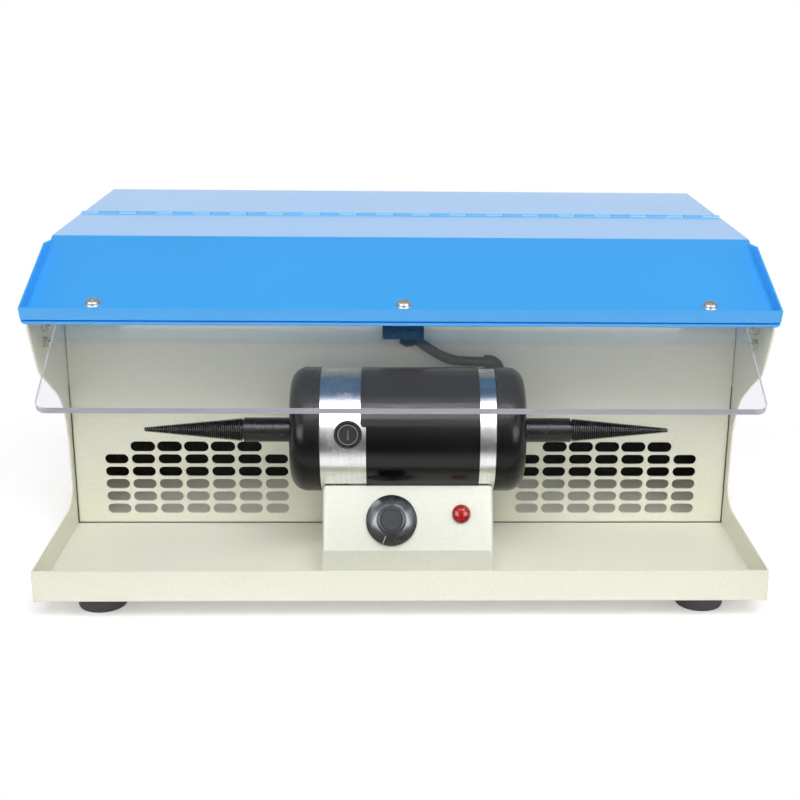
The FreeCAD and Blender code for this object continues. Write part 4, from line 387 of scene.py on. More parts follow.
class Palette:
    """All finishes of the machine, each made once."""

    def __init__(self) -> None:
        """Build the shared effects and then every finish."""
        coat_group()
        grain_group()
        skin_group()
        coat, grain, skin = Grouped
        box_values = {"Pebble": 560.0, "Drift": 0.05, "Gloss": 0.42}
        hinge_values = {"Pebble": 1300.0, "Gloss": 0.3}
        self.cream = Finish("Cream paint", coat, (231, 229, 212),
                            {"Pebble": 620.0, "Drift": 0.03, "Gloss": 0.42}, SATIN, 0.3).make()
        self.box_cream = Finish("Control box paint", coat, (216, 218, 206), box_values, SATIN, 0.9).make()
        self.baffle_cream = Finish("Baffle paint", coat, (227, 226, 208),
                                   {"Pebble": 620.0, "Drift": 0.03, "Gloss": 0.45},
                                   {"Coat Weight": 0.1, "Coat Roughness": 0.4}, 0.2).make()
        # Both hinge paints are lighter copies of the blue paint: painted sheen on the hinge barrel, stronger on the
        # rear leaf's knuckles.
        self.rear_hinge_painted_sheen = Finish("Hinge paint, rear leaf", coat, (134, 204, 252), hinge_values, LACQUER, 0.06).make()
        self.lid_hinge = Finish("Hinge paint, lid leaf", coat, (92, 186, 252), hinge_values, LACQUER, 0.06).make()
        # Painted shade: a dark paint on one end of each hinge knuckle stands in for the shadow in the gap between
        # knuckles.
        self.joint = Finish("Rubbed hinge joint", coat, (8, 24, 42), {"Gloss": 0.5}).make()
        self.blue = Finish("Blue paint", coat, (66, 174, 251), {"Pebble": 1300.0, "Drift": 0.02, "Gloss": 0.34},
                           LACQUER, 0.06).make()
        self.white_mark = Finish("Pointer paint", coat, (235, 235, 232), {"Gloss": 0.5}).make()

        self.tube = Finish("Turned tube", grain, (236, 237, 238), {
            "Stretch": (1.0, 0.02, 0.02), "Lines": 2200.0, "Gloss": 0.24, "Smear": 0.06}, METAL, 0.2).make()
        self.zinc = Finish("Zinc plate", grain, (222, 221, 216), {"Gloss": 0.3, "Smear": 0.08},
                           {"Metallic": 0.75}).make()
        self.steel = Finish("Bright steel", grain, (170, 172, 178), {"Stretch": (0.02, 1.0, 1.0), "Gloss": 0.3},
                            METAL).make()
        self.oxide = Finish("Black oxide steel", grain, (52, 51, 50), {
            "Stretch": (1.0, 0.03, 0.03), "Lines": 1800.0, "Gloss": 0.26, "Smear": 0.02}, {"Metallic": 0.6},
            0.15).make()
        self.crest = Finish("Worn thread crest", grain, (84, 83, 82), {
            "Stretch": (1.0, 0.2, 0.2), "Lines": 1800.0, "Gloss": 0.32, "Smear": 0.1}, METAL).make()
        self.knob = Finish("Knob grip", grain, (66, 67, 70), {"Lines": 3000.0, "Gloss": 0.34, "Smear": 0.05},
                           {"Metallic": 0.6}).make()
        self.dish = Finish("Knob dish", grain, (92, 94, 98), {"Lines": 3000.0, "Gloss": 0.28, "Smear": 0.02},
                           {"Metallic": 0.95}).make()
        self.copper = Finish("Copper wire", grain, (196, 112, 70), {"Lines": 1400.0}, METAL, 0.5).make()
        self.brass = Finish("Brass", grain, (206, 176, 106), {}, METAL).make()
        self.iron = Finish("Dark iron", grain, (74, 74, 76), {
            "Stretch": (1.0, 0.05, 0.05), "Lines": 1200.0, "Gloss": 0.5}, {"Metallic": 0.8}, 0.4).make()
        self.chrome = Finish("Bright wire", grain, (214, 214, 216), {"Gloss": 0.16, "Smear": 0.04}, METAL,
                             0.05).make()

        self.moulded = Finish("Black moulding", skin, (9, 9, 10), {"Gloss": 0.22, "Dust": 0.01},
                              {"Specular IOR Level": 0.25}, 0.01).make()
        self.cap_black = Finish("Brush cap moulding", skin, (30, 30, 31), {"Gloss": 0.3, "Dust": 0.01},
                                {"Specular IOR Level": 0.5}, 0.02).make()
        self.cap_worn = Finish("Worn brush cap slot", skin, (96, 97, 99), {"Gloss": 0.45}, {}, 0.05).make()
        self.sleeve = Finish("Black sleeve film", skin, (9, 9, 10), {"Spark": 700.0, "Gloss": 0.14, "Dust": 0.01},
                             {"Specular IOR Level": 0.35}, 0.01).make()
        # Painted reflection: near-black paint for the dark patch that the knob's dish shows at its top.
        self.dark_reflection_paint = Finish("Index paint", skin, (16, 16, 17), {"Gloss": 0.4}, {}, 0.05).make()
        self.rubber = Finish("Dark rubber", skin, (60, 59, 62), {"Spark": 1100.0, "Gloss": 0.7, "Dust": 0.2}, {},
                             0.25).make()
        self.jacket = Finish("Lead jacket", skin, (20, 22, 21), {"Spark": 900.0, "Gloss": 0.45, "Dust": 0.04},
                             {"Specular IOR Level": 0.35}).make()
        self.carbon = Finish("Carbon", skin, (30, 30, 31), {"Gloss": 0.6}, {}, 0.3).make()
        self.board = Finish("Circuit board", skin, (28, 92, 52), {"Gloss": 0.35, "Dust": 0.1}).make()

        self.clear = clear_sheet()
        self.cut_edge = sawn_edge()
        self.red = red_lens()
        self.foam = open_foam()


# ---------------------------------------------------------------- mesh work


def lathe_turned(profile: Profile, steps: int = 96, closed: bool = False) -> Mesh:
    """Spin an outline about Z.

    Args:
        profile: radius and height pairs in millimetres.
        steps: faces round the axis.
        closed: whether the outline's last point joins its first.

    Returns:
        The turned mesh in metres.
    """
    bm = bmesh.new()
    points = [bm.verts.new((radius * MM, 0, height * MM)) for radius, height in profile]
    pairs = list(zip(points, points[1:])) + ([(points[-1], points[0])] if closed else [])
    edges = [bm.edges.new(pair) for pair in pairs]
    bmesh.ops.spin(bm, geom=points + edges, cent=(0, 0, 0), axis=(0, 0, 1), dvec=(0, 0, 0),
                   angle=math.tau, steps=steps, use_merge=True, use_duplicate=False)
    bmesh.ops.remove_doubles(bm, verts=bm.verts, dist=1e-7)
    bmesh.ops.recalc_face_normals(bm, faces=bm.faces)
    return bm


def rounded_block(size: Sequence[float], centre: Sequence[float], edge: float) -> Mesh:
    """Make a block with bevelled edges.

    Args:
        size: lengths along X, Y and Z in millimetres.
        centre: middle of the block in millimetres.
        edge: bevel width in millimetres.

    Returns:
        The block in metres.
    """
    bm = bmesh.new()
    bmesh.ops.create_cube(bm, size=1.0)
    bmesh.ops.scale(bm, vec=[length * MM for length in size], verts=bm.verts)
    bmesh.ops.translate(bm, vec=[place * MM for place in centre], verts=bm.verts)
    bmesh.ops.bevel(bm, geom=list(bm.edges), offset=edge * MM, segments=2, profile=0.5, affect="EDGES",
                    material=-1)
    return bm


def joined(parts: Sequence[Mesh]) -> Mesh:
    """Put several meshes into the first one and free the others.

    Args:
        parts: the meshes.

    Returns:
        The first mesh, now with all of them.
    """
    whole = parts[0]
    for part in parts[1:]:
        spare = bpy.data.meshes.new("spare")
        part.to_mesh(spare)
        part.free()
        whole.from_mesh(spare)
        bpy.data.meshes.remove(spare)
    return whole


def repeated(part: Mesh, places: Sequence[Matrix]) -> Mesh:
    """Copy one mesh to several places.

    Args:
        part: the mesh, which is freed.
        places: one transform for each copy.

    Returns:
        One mesh with all copies.
    """
    spare = bpy.data.meshes.new("spare")
    part.to_mesh(spare)
    part.free()
    whole = bmesh.new()
    for place in places:
        before = len(whole.verts)
        whole.from_mesh(spare)
        whole.verts.ensure_lookup_table()
        bmesh.ops.transform(whole, matrix=place, verts=whole.verts[before:])
    bpy.data.meshes.remove(spare)
    return whole


def put_down(name: str, data: bpy.types.ID) -> bpy.types.Object:
    """Make an object and link it to the scene.

    Args:
        name: name of the object.
        data: its mesh, curve, lamp or camera.

    Returns:
        The object.
    """
    thing = bpy.data.objects.new(name, data)
    bpy.context.scene.collection.objects.link(thing)
    return thing


def as_object(bm: Mesh, name: str) -> bpy.types.Object:
    """Make an object of a mesh.

    Args:
        bm: the mesh, which is freed.
        name: name of the object and of its mesh.

    Returns:
        The object.
    """
    mesh = bpy.data.meshes.new(name)
    bm.to_mesh(mesh)
    bm.free()
    return put_down(name, mesh)


def from_front(x: float, y: float, z: float) -> Vector:
    """Return a place in metres.

    Args:
        x, y, z: millimetres from the machine's middle, from its front edge and from the bench.

    Returns:
        The place in the frame of the machine.
    """
    return Vector((x * MM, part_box("base_tray")[0].y + y * MM, z * MM))


class Shop:
    """Turns finished meshes into pieces of the machine.

    Attributes:
        broad: square metres above which a face counts as a flat panel.
        crease: degrees above which an edge between two panels stays sharp.
        uneven: how many times larger a panel is than the narrow face beside it, to stay flat.
        flat: degrees above which the edge of such a panel stays sharp.
    """

    broad = 0.0004
    crease = 5.0
    uneven = 12.0
    flat = 1.0

    def __init__(self, frame: dict[str, object], palette: Palette) -> None:
        """Keep the frame's nodes and the finishes."""
        self.nodes: dict[str, bpy.types.Object] = frame["nodes"]
        self.palette = palette
        self.slots = {item["node"]: item["material_slot"] for item in frame["record"]["subparts"]}
        self.body_of = {node: body for body, nodes in frame["record"]["behaviour"]["bodies"].items()
                        for node in nodes}

    def piece(self, bm: Mesh, name: str, material: Paint, stands_for: Sequence[str], body: Body | None = None,
              smooth: float = 35, patch: Paint | None = None) -> None:
        """Make an object of a mesh, put it on its body and let it stand for its nodes.

        Args:
            bm: the mesh in metres, which is freed.
            name: name of the piece.
            material: its finish.
            stands_for: nodes that it replaces; the first one gives its slot and body.
            body: the body, if the first node's isn't meant.
            smooth: angle in degrees above which an edge stays sharp.
            patch: finish of the faces whose material index is 1.
        """
        for face in bm.faces:
            face.smooth = True
        areas = {face: face.calc_area() for face in bm.faces}
        for line in bm.edges:
            if len(line.link_faces) == 2:
                small, large = sorted(areas[face] for face in line.link_faces)
                limit = self.crease if small > self.broad else smooth
                limit = self.flat if large > max(self.broad, self.uneven * small) else limit
                line.smooth = math.degrees(line.calc_face_angle(0.0)) < limit
        thing = as_object(bm, name)
        for paint in filter(None, (material, patch)):
            thing.data.materials.append(paint)
        self.enrol(thing, stands_for, body)

    def enrol(self, thing: bpy.types.Object, stands_for: Sequence[str], body: Body | None = None) -> None:
        """Put an object on its body and the nodes that it replaces.

        Args:
            thing: the object.
            stands_for: nodes that it replaces.
            body: the body, if the first node's isn't meant.
        """
        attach(thing, body.value if body else self.body_of[stands_for[0]])
        if stands_for:
            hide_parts(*stands_for)
        LOG.info("piece %s stands for %s", thing.name, ", ".join(stands_for) or "nothing")

    def fasteners(self, node: str, part: Mesh, places: Sequence[Matrix]) -> None:
        """Replace a node of identical zinc-plated fasteners.

        Args:
            node: the node.
            part: one fastener, which is freed.
            places: one transform for each.
        """
        self.piece(repeated(part, places), node + "_dressed", self.palette.zinc, [node])

    def copy_of(self, node: str) -> Mesh:
        """Return a merged copy of a node's mesh, with its flat faces whole again."""
        bm = bmesh.new()
        bm.from_mesh(self.nodes[node].data)
        bmesh.ops.remove_doubles(bm, verts=bm.verts, dist=2e-6)
        bmesh.ops.dissolve_limit(bm, angle_limit=math.radians(0.5), verts=bm.verts, edges=bm.edges,
                                 use_dissolve_boundaries=False, delimit={"NORMAL"})
        return bm

    def softened(self, node: str, material: Paint, edge: float = 0.3, smooth: float = 35) -> None:
        """Replace a node by its own shape with slightly rounded edges.

        Args:
            node: the node.
            material: its finish.
            edge: bevel width in millimetres, or 0 for none.
            smooth: angle in degrees above which an edge stays sharp.
        """
        bm = self.copy_of(node)
        if edge:
            self.ease(bm, edge)
        self.piece(bm, node + "_dressed", material, [node], smooth=smooth)

    @staticmethod
    def ease(bm: Mesh, edge: float) -> None:
        """Bevel the hard edges of a mesh.

        Args:
            bm: the mesh in metres.
            edge: bevel width in millimetres.
        """
        sharp = [line for line in bm.edges if len(line.link_faces) == 2
                 and line.calc_face_angle(0.0) > math.radians(50)]
        bmesh.ops.bevel(bm, geom=sharp, offset=edge * MM, segments=2, profile=0.5, affect="EDGES",
                        clamp_overlap=True, material=-1)

    def dress(self, finishes: dict[str, Paint]) -> None:
        """Give nodes whose shape stays their finish."""
        for node, material in finishes.items():
            mesh = self.nodes[node].data
            mesh.materials.clear()
            mesh.materials.append(material)
            LOG.info("node %s keeps its shape, finish %s", node, material.name)


# ---------------------------------------------------------------- fasteners


@dataclass
class PanScrew:
    """Pan-head machine screw with a cross recess; its head stands on Z = 0."""

    shank: float = 4.0
    head: float = 7.6
    height: float = 2.4
    cross: float = 4.2
    blade: float = 0.95
    sink: float = 1.5

    def mesh(self, length: float) -> Mesh:
        """Build one screw.

        Args:
            length: millimetres under the head.

        Returns:
            The screw with its recess cut.
        """
        r, h, s = self.head / 2, self.height, self.shank / 2
        arc = [(r * math.cos(math.radians(a)) ** 0.75, 0.35 * h + 0.65 * h * math.sin(math.radians(a)))
               for a in (8, 24, 40, 56, 72, 84)]
        solid = lathe_turned([(0, -length), (s - 0.4, -length), (s, -length + 0.5), (s, 0), (r - 0.15, 0),
                              (r, 0.15)] + arc + [(0, h)], 40)
        arms = [rounded_block((self.cross, self.blade, self.sink * 2), (0, 0, h), 0.12),
                rounded_block((self.blade, self.cross, self.sink * 2), (0, 0, h), 0.12)]
        return self.cut(solid, arms)

    @staticmethod
    def cut(solid: Mesh, tools: Sequence[Mesh]) -> Mesh:
        """Cut tools out of a solid, one after the other.

        Args:
            solid: the mesh that is cut.
            tools: the cutters, which are freed.

        Returns:
            The cut mesh.
        """
        work = as_object(solid, "work")
        cutters = [as_object(tool, "cutter") for tool in tools]
        for cutter in cutters:
            modifier = work.modifiers.new("Recess", "BOOLEAN")
            modifier.operation = "DIFFERENCE"
            modifier.solver = "EXACT"
            modifier.object = cutter
        graph = bpy.context.evaluated_depsgraph_get()
        done = bpy.data.meshes.new_from_object(work.evaluated_get(graph))
        bm = bmesh.new()
        bm.from_mesh(done)
        bpy.data.meshes.remove(done)
        for thing in [work] + cutters:
            mesh = thing.data
            bpy.data.objects.remove(thing)
            bpy.data.meshes.remove(mesh)
        return bm


def upright(where: Vector, axis: str = "X", degrees: float = 0.0) -> Matrix:
    """Return a transform that turns about one axis and then moves.

    Args:
        where: place in metres.
        axis: axis of the turn.
        degrees: angle of the turn.

    Returns:
        The transform.
    """
    return Matrix.Translation(where) @ Matrix.Rotation(math.radians(degrees), 4, axis)


# ---------------------------------------------------------------- sub-assemblies


@dataclass
class Cabinet:
    """Sheet-metal cabinet with baffle, filter, feet and its fasteners."""

    shop: Shop
    foot: float = 33.4
    foot_high: float = 15.0
    foot_inset: float = 28.0
    foot_off: float = 192.8
    foot_floor: float = 4.0
    foot_screw: float = 8.0
    depth: float = 331.6
    gap_shadow_width: float = 0.5
    gap_shadow_high: float = 100.0
    sheets: tuple[str, ...] = ("base_tray", "side_panel_left", "side_panel_right")

    def build(self) -> None:
        """Build and dress every piece of the cabinet."""
        pal = self.shop.palette
        for node in self.sheets:
            self.shop.softened(node, pal.cream, 0.3)
        self.baffle_seam()
        self.feet()
        self.shop.dress({
            "baffle_panel": pal.baffle_cream, "rear_panel": pal.cream, "filter_frame": pal.moulded,
            "filter_foam": pal.foam})

    def baffle_seam(self) -> None:
        """Lay a dark strip of painted shadow in the gap along the baffle's foot and up both of its sides."""
        low, high = (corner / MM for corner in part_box("baffle_panel"))
        width, reach, ease = self.gap_shadow_width, (high.x - low.x) / 2, self.gap_shadow_width / 10
        front = low.y - width / 2
        foot = rounded_block((reach * 2, width, width), (0, front, low.z + width / 2), ease)
        cheeks = [rounded_block((width, width, self.gap_shadow_high),
                                (side.value * (reach - width / 2), front, low.z + self.gap_shadow_high / 2), ease)
                  for side in Side]
        # The dark rubber finish on this strip is painted shadow: it stands in for the shade in the gaps between
        # baffle, tray and side panels.
        self.shop.piece(joined([foot] + cheeks), "baffle_seam", self.shop.palette.rubber, [], Body.CABINET)

    def corners(self, level: float) -> list[Vector]:
        """Return the feet's places at some millimetres above the bench."""
        return [from_front(side.value * self.foot_off, y, level) for side in Side
                for y in (self.foot_inset, self.depth - self.foot_inset)]

    def feet(self) -> None:
        """Turn one ribbed rubber foot and set four of them, with their screws."""
        r, h, half = self.foot / 2, self.foot_high, self.foot_high / 2
        seat = h - self.foot_floor
        foot = lathe_turned([
            (2.2, h), (2.2, seat), (5.3, seat), (5.3, 0.4), (5.8, 0), (r - 2.6, 0), (r - 1.8, 0.3),
            (r - 1.4, 1.2), (r - 0.9, half), (r - 1.4, half + 0.6), (r - 0.8, half + 1.2),
            (r - 0.2, h - 1.4), (r - 0.1, h - 0.4), (r - 0.6, h)], 72, closed=True)
        places = [Matrix.Translation(spot) for spot in self.corners(0)]
        self.shop.piece(repeated(foot, places), "rubber_feet_dressed", self.shop.palette.rubber, ["rubber_feet"])
        heads = [upright(spot, "X", 180) for spot in self.corners(seat)]
        self.shop.fasteners("foot_screws", PanScrew().mesh(self.foot_screw), heads)


@dataclass
class Hood:
    """Blue cover and flip-up lid with hinge, bar, shield and screws."""

    shop: Shop
    bend_at: float = 128.0
    top: float = 220.5
    slope: float = 20.0
    droop: float = 7.7
    screw_at: float = 82.7
    screw_off: float = 192.0
    screw_turns: Triple = (20.0, 65.0, 40.0)
    washer: float = 0.8
    bolt_head: float = 2.4
    bolt_radius: float = 3.8
    knuckle_edge: float = 0.4
    gap_shade_share: float = 0.12
    shield_edge: float = 0.35
    flat_share: float = 0.85

    def build(self) -> None:
        """Build and dress every piece of the hood."""
        pal = self.shop.palette
        for node, edge in (("hood_cover", 0.35), ("lid_panel", 0.5), ("lid_bar", 0.3)):
            self.shop.softened(node, pal.blue, edge)
        self.leaf("hinge_leaf_rear", pal.rear_hinge_painted_sheen, Side.RIGHT)
        self.leaf("hinge_leaf_lid", pal.lid_hinge, Side.LEFT)
        self.shield()
        self.shop.softened("hinge_pin", pal.iron, 0.2)
        self.screws()
        self.cover_bolts()

    def leaf(self, node: str, paint: Paint, patched: Side) -> None:
        """Replace one hinge leaf by its own shape with eased knuckles, with painted shade of the gap at one end of
        each.

        Args:
            node: the leaf.
            paint: its finish.
            patched: the end of each knuckle that gets the painted shade of its gap to the next one.
        """
        bm = self.shop.copy_of(node)
        self.shop.ease(bm, self.knuckle_edge)
        # Faces at one end of each knuckle get painted shade, standing in for the shadow in the gap to the next
        # knuckle.
        for face in bm.faces:
            face.material_index = int(face.normal.x * patched.value > self.gap_shade_share)
        self.shop.piece(bm, node + "_dressed", paint, [node], patch=self.shop.palette.joint)

    def shield(self) -> None:
        """Replace the shield by its own shape with eased edges, whose cut edges are pale."""
        bm = self.shop.copy_of("splash_shield")
        self.shop.ease(bm, self.shield_edge)
        for face in bm.faces:
            flat = max(abs(face.normal.dot(self.normal(lean))) for lean in (self.slope, self.slope + self.droop))
            face.material_index = int(flat < self.flat_share)
        self.shop.piece(bm, "splash_shield_dressed", self.shop.palette.clear, ["splash_shield"], smooth=1,
                        patch=self.shop.palette.cut_edge)

    @staticmethod
    def normal(lean: float) -> Vector:
        """Return the outward direction of a sheet that leans down to the front by some degrees."""
        tilt = math.radians(lean)
        return Vector((0, -math.sin(tilt), math.cos(tilt)))

    def on_slope(self, off: float, down: float, out: float) -> Vector:
        """Return a point of the lid: across, down its slope and out of it, from millimetres to metres."""
        tilt = math.radians(self.slope)
        return from_front(off, self.bend_at - down * math.cos(tilt) - out * math.sin(tilt),
                          self.top - down * math.sin(tilt) + out * math.cos(tilt))

    def screws(self) -> None:
        """Set the lid's screws, washers and nuts."""
        offs = (-self.screw_off, 0.0, self.screw_off)
        heads = [upright(self.on_slope(off, self.screw_at, self.washer), "X", self.slope)
                 @ Matrix.Rotation(math.radians(turn), 4, "Z") for off, turn in zip(offs, self.screw_turns)]
        self.shop.fasteners("shield_screws", PanScrew(cross=4.4).mesh(14.3), heads)
        ring = lathe_turned([(2.15, 0.1), (2.3, 0), (4.75, 0), (4.9, 0.15), (4.9, 0.65), (4.75, 0.8),
                             (2.3, 0.8), (2.15, 0.7)], 48, closed=True)
        rests = [upright(self.on_slope(off, self.screw_at, 0), "X", self.slope) for off in offs]
        self.shop.fasteners("shield_washers", ring, rests)
        self.shop.softened("shield_nuts", self.shop.palette.zinc, 0.25)

    def cover_bolts(self) -> None:
        """Set the bolts of the cheeks, with their nuts."""
        low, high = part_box("cover_bolts")
        levels = (low.z + self.bolt_radius * MM, high.z - self.bolt_radius * MM)
        middle = (low.y + high.y) / 2
        face = high.x - self.bolt_head * MM
        places = [upright(Vector((side.value * face, middle, level)), "Y", side.value * 90)
                  for side in Side for level in levels]
        self.shop.fasteners("cover_bolts", PanScrew().mesh(9.4), places)
        self.shop.softened("cover_nuts", self.shop.palette.zinc, 0.25)


@dataclass
class Motor:
    """Motor with its end caps, sleeve, brushes, spindles, lead and stand."""

    shop: Shop
    middle: Triple = (3.0, 76.5, 101.8)
    half: float = 76.0
    cap: float = 40.0
    cap_long: float = 20.0
    cap_round: float = 11.0
    tube: float = 39.5
    brush_at: float = -38.0
    brush_angle: float = 14.0
    brush_radius: float = 8.9
    brush_high: float = 3.4
    brush_slot: Triple = (1.25, 6.4, 3.4)
    shank: float = 8.0
    plain: float = 31.6
    gap: float = 0.6
    base: float = 7.8
    tip: float = 1.45
    cone: float = 64.6
    pitch: float = 1.27
    thread: float = 1.2
    crest: tuple[float, float] = (0.37, 0.63)
    fade: float = 0.45
    steps: int = 28
    lead_wide: float = 6.6
    lead_long: float = 0.0493
    route: tuple[Triple, ...] = (
        (9.3, 114.2, 151.2), (19.7, 109.5, 145.0), (31.5, 104.6, 140.4), (43.5, 101.39, 140.13),
        (54.0, 101.39, 140.13))

    def at_end(self, side: Side, out: float) -> Matrix:
        """Return the frame of one end of the motor, whose +Z points away from the motor.

        Args:
            side: the end.
            out: millimetres from the motor's middle.

        Returns:
            The transform to the machine's frame.
        """
        axis = Matrix.Translation(from_front(*self.middle)) @ Matrix.Rotation(math.pi / 2, 4, "Y")
        flip = Matrix.Rotation(math.pi, 4, "Y") if side is Side.LEFT else Matrix.Identity(4)
        return axis @ flip @ Matrix.Translation((0, 0, out * MM))

    def build(self) -> None:
        """Build and dress every piece of the motor."""
        pal = self.shop.palette
        self.end_caps()
        for side in Side:
            self.spindle(side)
        self.shop.softened("motor_housing", pal.tube, 0)
        self.shop.softened("motor_sleeve", pal.sleeve, 0)
        self.brush_caps()
        self.shop.softened("gland_block", pal.moulded, 0.5)
        self.shop.softened("gland_nut", pal.moulded, 0.25)
        self.shop.softened("lead_boot", pal.jacket, 0.3, 50)
        self.lead()
        self.shop.softened("grub_screws", pal.iron, 0.1)
        self.shop.dress({
            "motor_magnets": pal.iron, "motor_bearings": pal.steel, "brush_holders": pal.moulded,
            "carbon_brushes": pal.carbon, "rotor_shaft": pal.steel, "armature_core": pal.iron,
            "armature_windings": pal.copper, "commutator": pal.copper, "motor_pedestal": pal.cream})

    def end_caps(self) -> None:
        """Turn both moulded end caps, with a parting line and a recessed ring round the shaft."""
        inner, r = self.tube, self.cap
        top, corner = self.cap_long, self.cap_round
        curve = [(r - corner + corner * math.cos(math.radians(a)), top - corner + corner * math.sin(math.radians(a)))
                 for a in range(0, 91, 9)]
        profile = [(inner + 0.05, 0.0), (r - 0.35, 0.0), (r - 0.12, 0.2), (r, 0.5), (r, 3.0)] + curve + [
            (17.0, top), (16.6, top - 0.5), (12.0, top - 0.5), (11.6, top), (4.9, top), (4.6, top - 0.3),
            (4.6, top - 4), (r - 5.0, top - 4), (r - 5.0, 8.0), (inner + 0.05, 8.0)]
        for side in Side:
            node = "motor_end_cap_" + side.name.lower()
            bm = lathe_turned(profile, 128, closed=True)
            bmesh.ops.transform(bm, matrix=self.at_end(side, self.half - self.cap_long), verts=bm.verts)
            self.shop.piece(bm, node + "_dressed", self.shop.palette.moulded, [node], smooth=40)

    def spindle(self, side: Side) -> None:
        """Turn a spindle: plain part with a chamfer, then a tapered thread that runs to a blunt tip.

        Args:
            side: the end of the motor that it sits on; the left thread is left-handed.
        """
        turns = int(self.cone / self.pitch)
        neck, end = self.base - self.thread - 0.1, self.plain + self.cone
        shank = lathe_turned([(4.0, 0), (self.shank - 0.5, 0), (self.shank, 0.5), (self.shank, self.plain - 1.1),
                              (self.shank - 0.4, self.plain - 0.7), (neck, self.plain - 0.5),
                              (neck, self.plain + 0.6), (4.0, self.plain + 0.6)], 64, closed=True)
        bm = bmesh.new()
        low, high = self.crest
        profile = [(-self.thread, 0.0), (0.0, low), (0.0, high), (-self.thread, 1.0)]
        verts = [bm.verts.new(((self.base + dr) * MM, 0, (self.plain - 0.2 + share * self.pitch) * MM))
                 for dr, share in profile]
        edges = [bm.edges.new(pair) for pair in zip(verts, verts[1:])]
        bmesh.ops.spin(bm, geom=verts + edges, cent=(0, 0, 0), axis=(0, 0, side.value),
                       dvec=(0, 0, self.pitch * MM / self.steps), angle=math.tau * turns, steps=self.steps * turns,
                       use_merge=False, use_duplicate=False)
        bmesh.ops.remove_doubles(bm, verts=bm.verts, dist=2e-6)
        for face in bm.faces:
            face.material_index = int(all(vert.co.xy.length > (self.base - 0.01) * MM for vert in face.verts))
        self.taper(bm)
        bmesh.ops.holes_fill(bm, edges=[edge for edge in bm.edges if edge.is_boundary], sides=0)
        bmesh.ops.recalc_face_normals(bm, faces=bm.faces)
        nose = lathe_turned([(0, end - 4), (1.3, end - 4), (1.2, end - 0.9), (0.9, end - 0.35), (0.45, end),
                             (0, end)], 24)
        whole = joined([shank, bm, nose])
        bmesh.ops.transform(whole, matrix=self.at_end(side, self.half + self.gap), verts=whole.verts)
        node = "spindle_" + side.name.lower()
        self.shop.piece(whole, node + "_dressed", self.shop.palette.oxide, [node], smooth=30,
                        patch=self.shop.palette.crest)

    def taper(self, bm: Mesh) -> None:
        """Draw a straight thread in towards the tip, its depth a little less there.

        Args:
            bm: the thread about Z.
        """
        for vert in bm.verts:
            along = max((vert.co.z / MM - self.plain) / self.cone, 0.0)
            radius = math.hypot(vert.co.x, vert.co.y) / MM
            depth = self.base - radius
            wanted = self.base + (self.tip - self.base) * along - depth * (1 - self.fade * along)
            share = max(wanted, 0.2) / radius
            vert.co.x *= share
            vert.co.y *= share

    def brush_caps(self) -> None:
        """Turn the two screwed brush caps, each with a rim ring and a screwdriver slot."""
        base, top, r = self.tube - 1.0, self.tube + self.brush_high, self.brush_radius
        cap = lathe_turned([(0, base), (r - 0.2, base), (r, base + 0.5), (r, top - 0.6), (r - 0.5, top),
                            (r - 1.2, top), (r - 1.5, top - 1.4), (r - 2.1, top - 1.4), (r - 2.4, top - 0.2),
                            (r - 3.1, top - 0.2), (r - 3.3, top - 0.5), (r - 3.7, top - 0.5), (r - 3.9, top - 0.2),
                            (0, top - 0.2)], 96)
        cap = PanScrew.cut(cap, [rounded_block(self.brush_slot, (0, 0, top), 0.15)])
        for face in cap.faces:
            spot = face.calc_center_median() / MM
            patched = abs(spot.x) < 0.7 and abs(spot.y) < 3.3 and spot.z < top - 0.3
            face.material_index = int(patched or r - 3.2 < spot.xy.length < r - 2.3)
        x, y, z = self.middle
        places = [upright(from_front(x + self.brush_at, y, z), "X", 90 - angle)
                  for angle in (self.brush_angle, 180 + self.brush_angle)]
        self.shop.piece(repeated(cap, places), "brush_caps_dressed", self.shop.palette.cap_black, ["brush_caps"],
                        patch=self.shop.palette.cap_worn)

    def lead(self) -> None:
        """Lay the lead from the gland nut to the boot on one smooth curve."""
        points = [from_front(*spot) for spot in self.route]
        curve = bpy.data.curves.new("motor_lead_dressed", "CURVE")
        curve.dimensions = "3D"
        curve.bevel_depth = self.lead_wide / 2 * MM
        curve.bevel_resolution = 6
        curve.resolution_u = 24
        curve.use_fill_caps = True
        spline = curve.splines.new("NURBS")
        spline.points.add(len(points) - 1)
        for point, spot in zip(spline.points, points):
            point.co = (*spot, 1.0)
        spline.order_u = 3
        spline.use_endpoint_u = True
        curve.materials.append(self.shop.palette.jacket)
        lead = put_down("motor_lead_dressed", curve)
        self.shop.enrol(lead, ["motor_lead"])


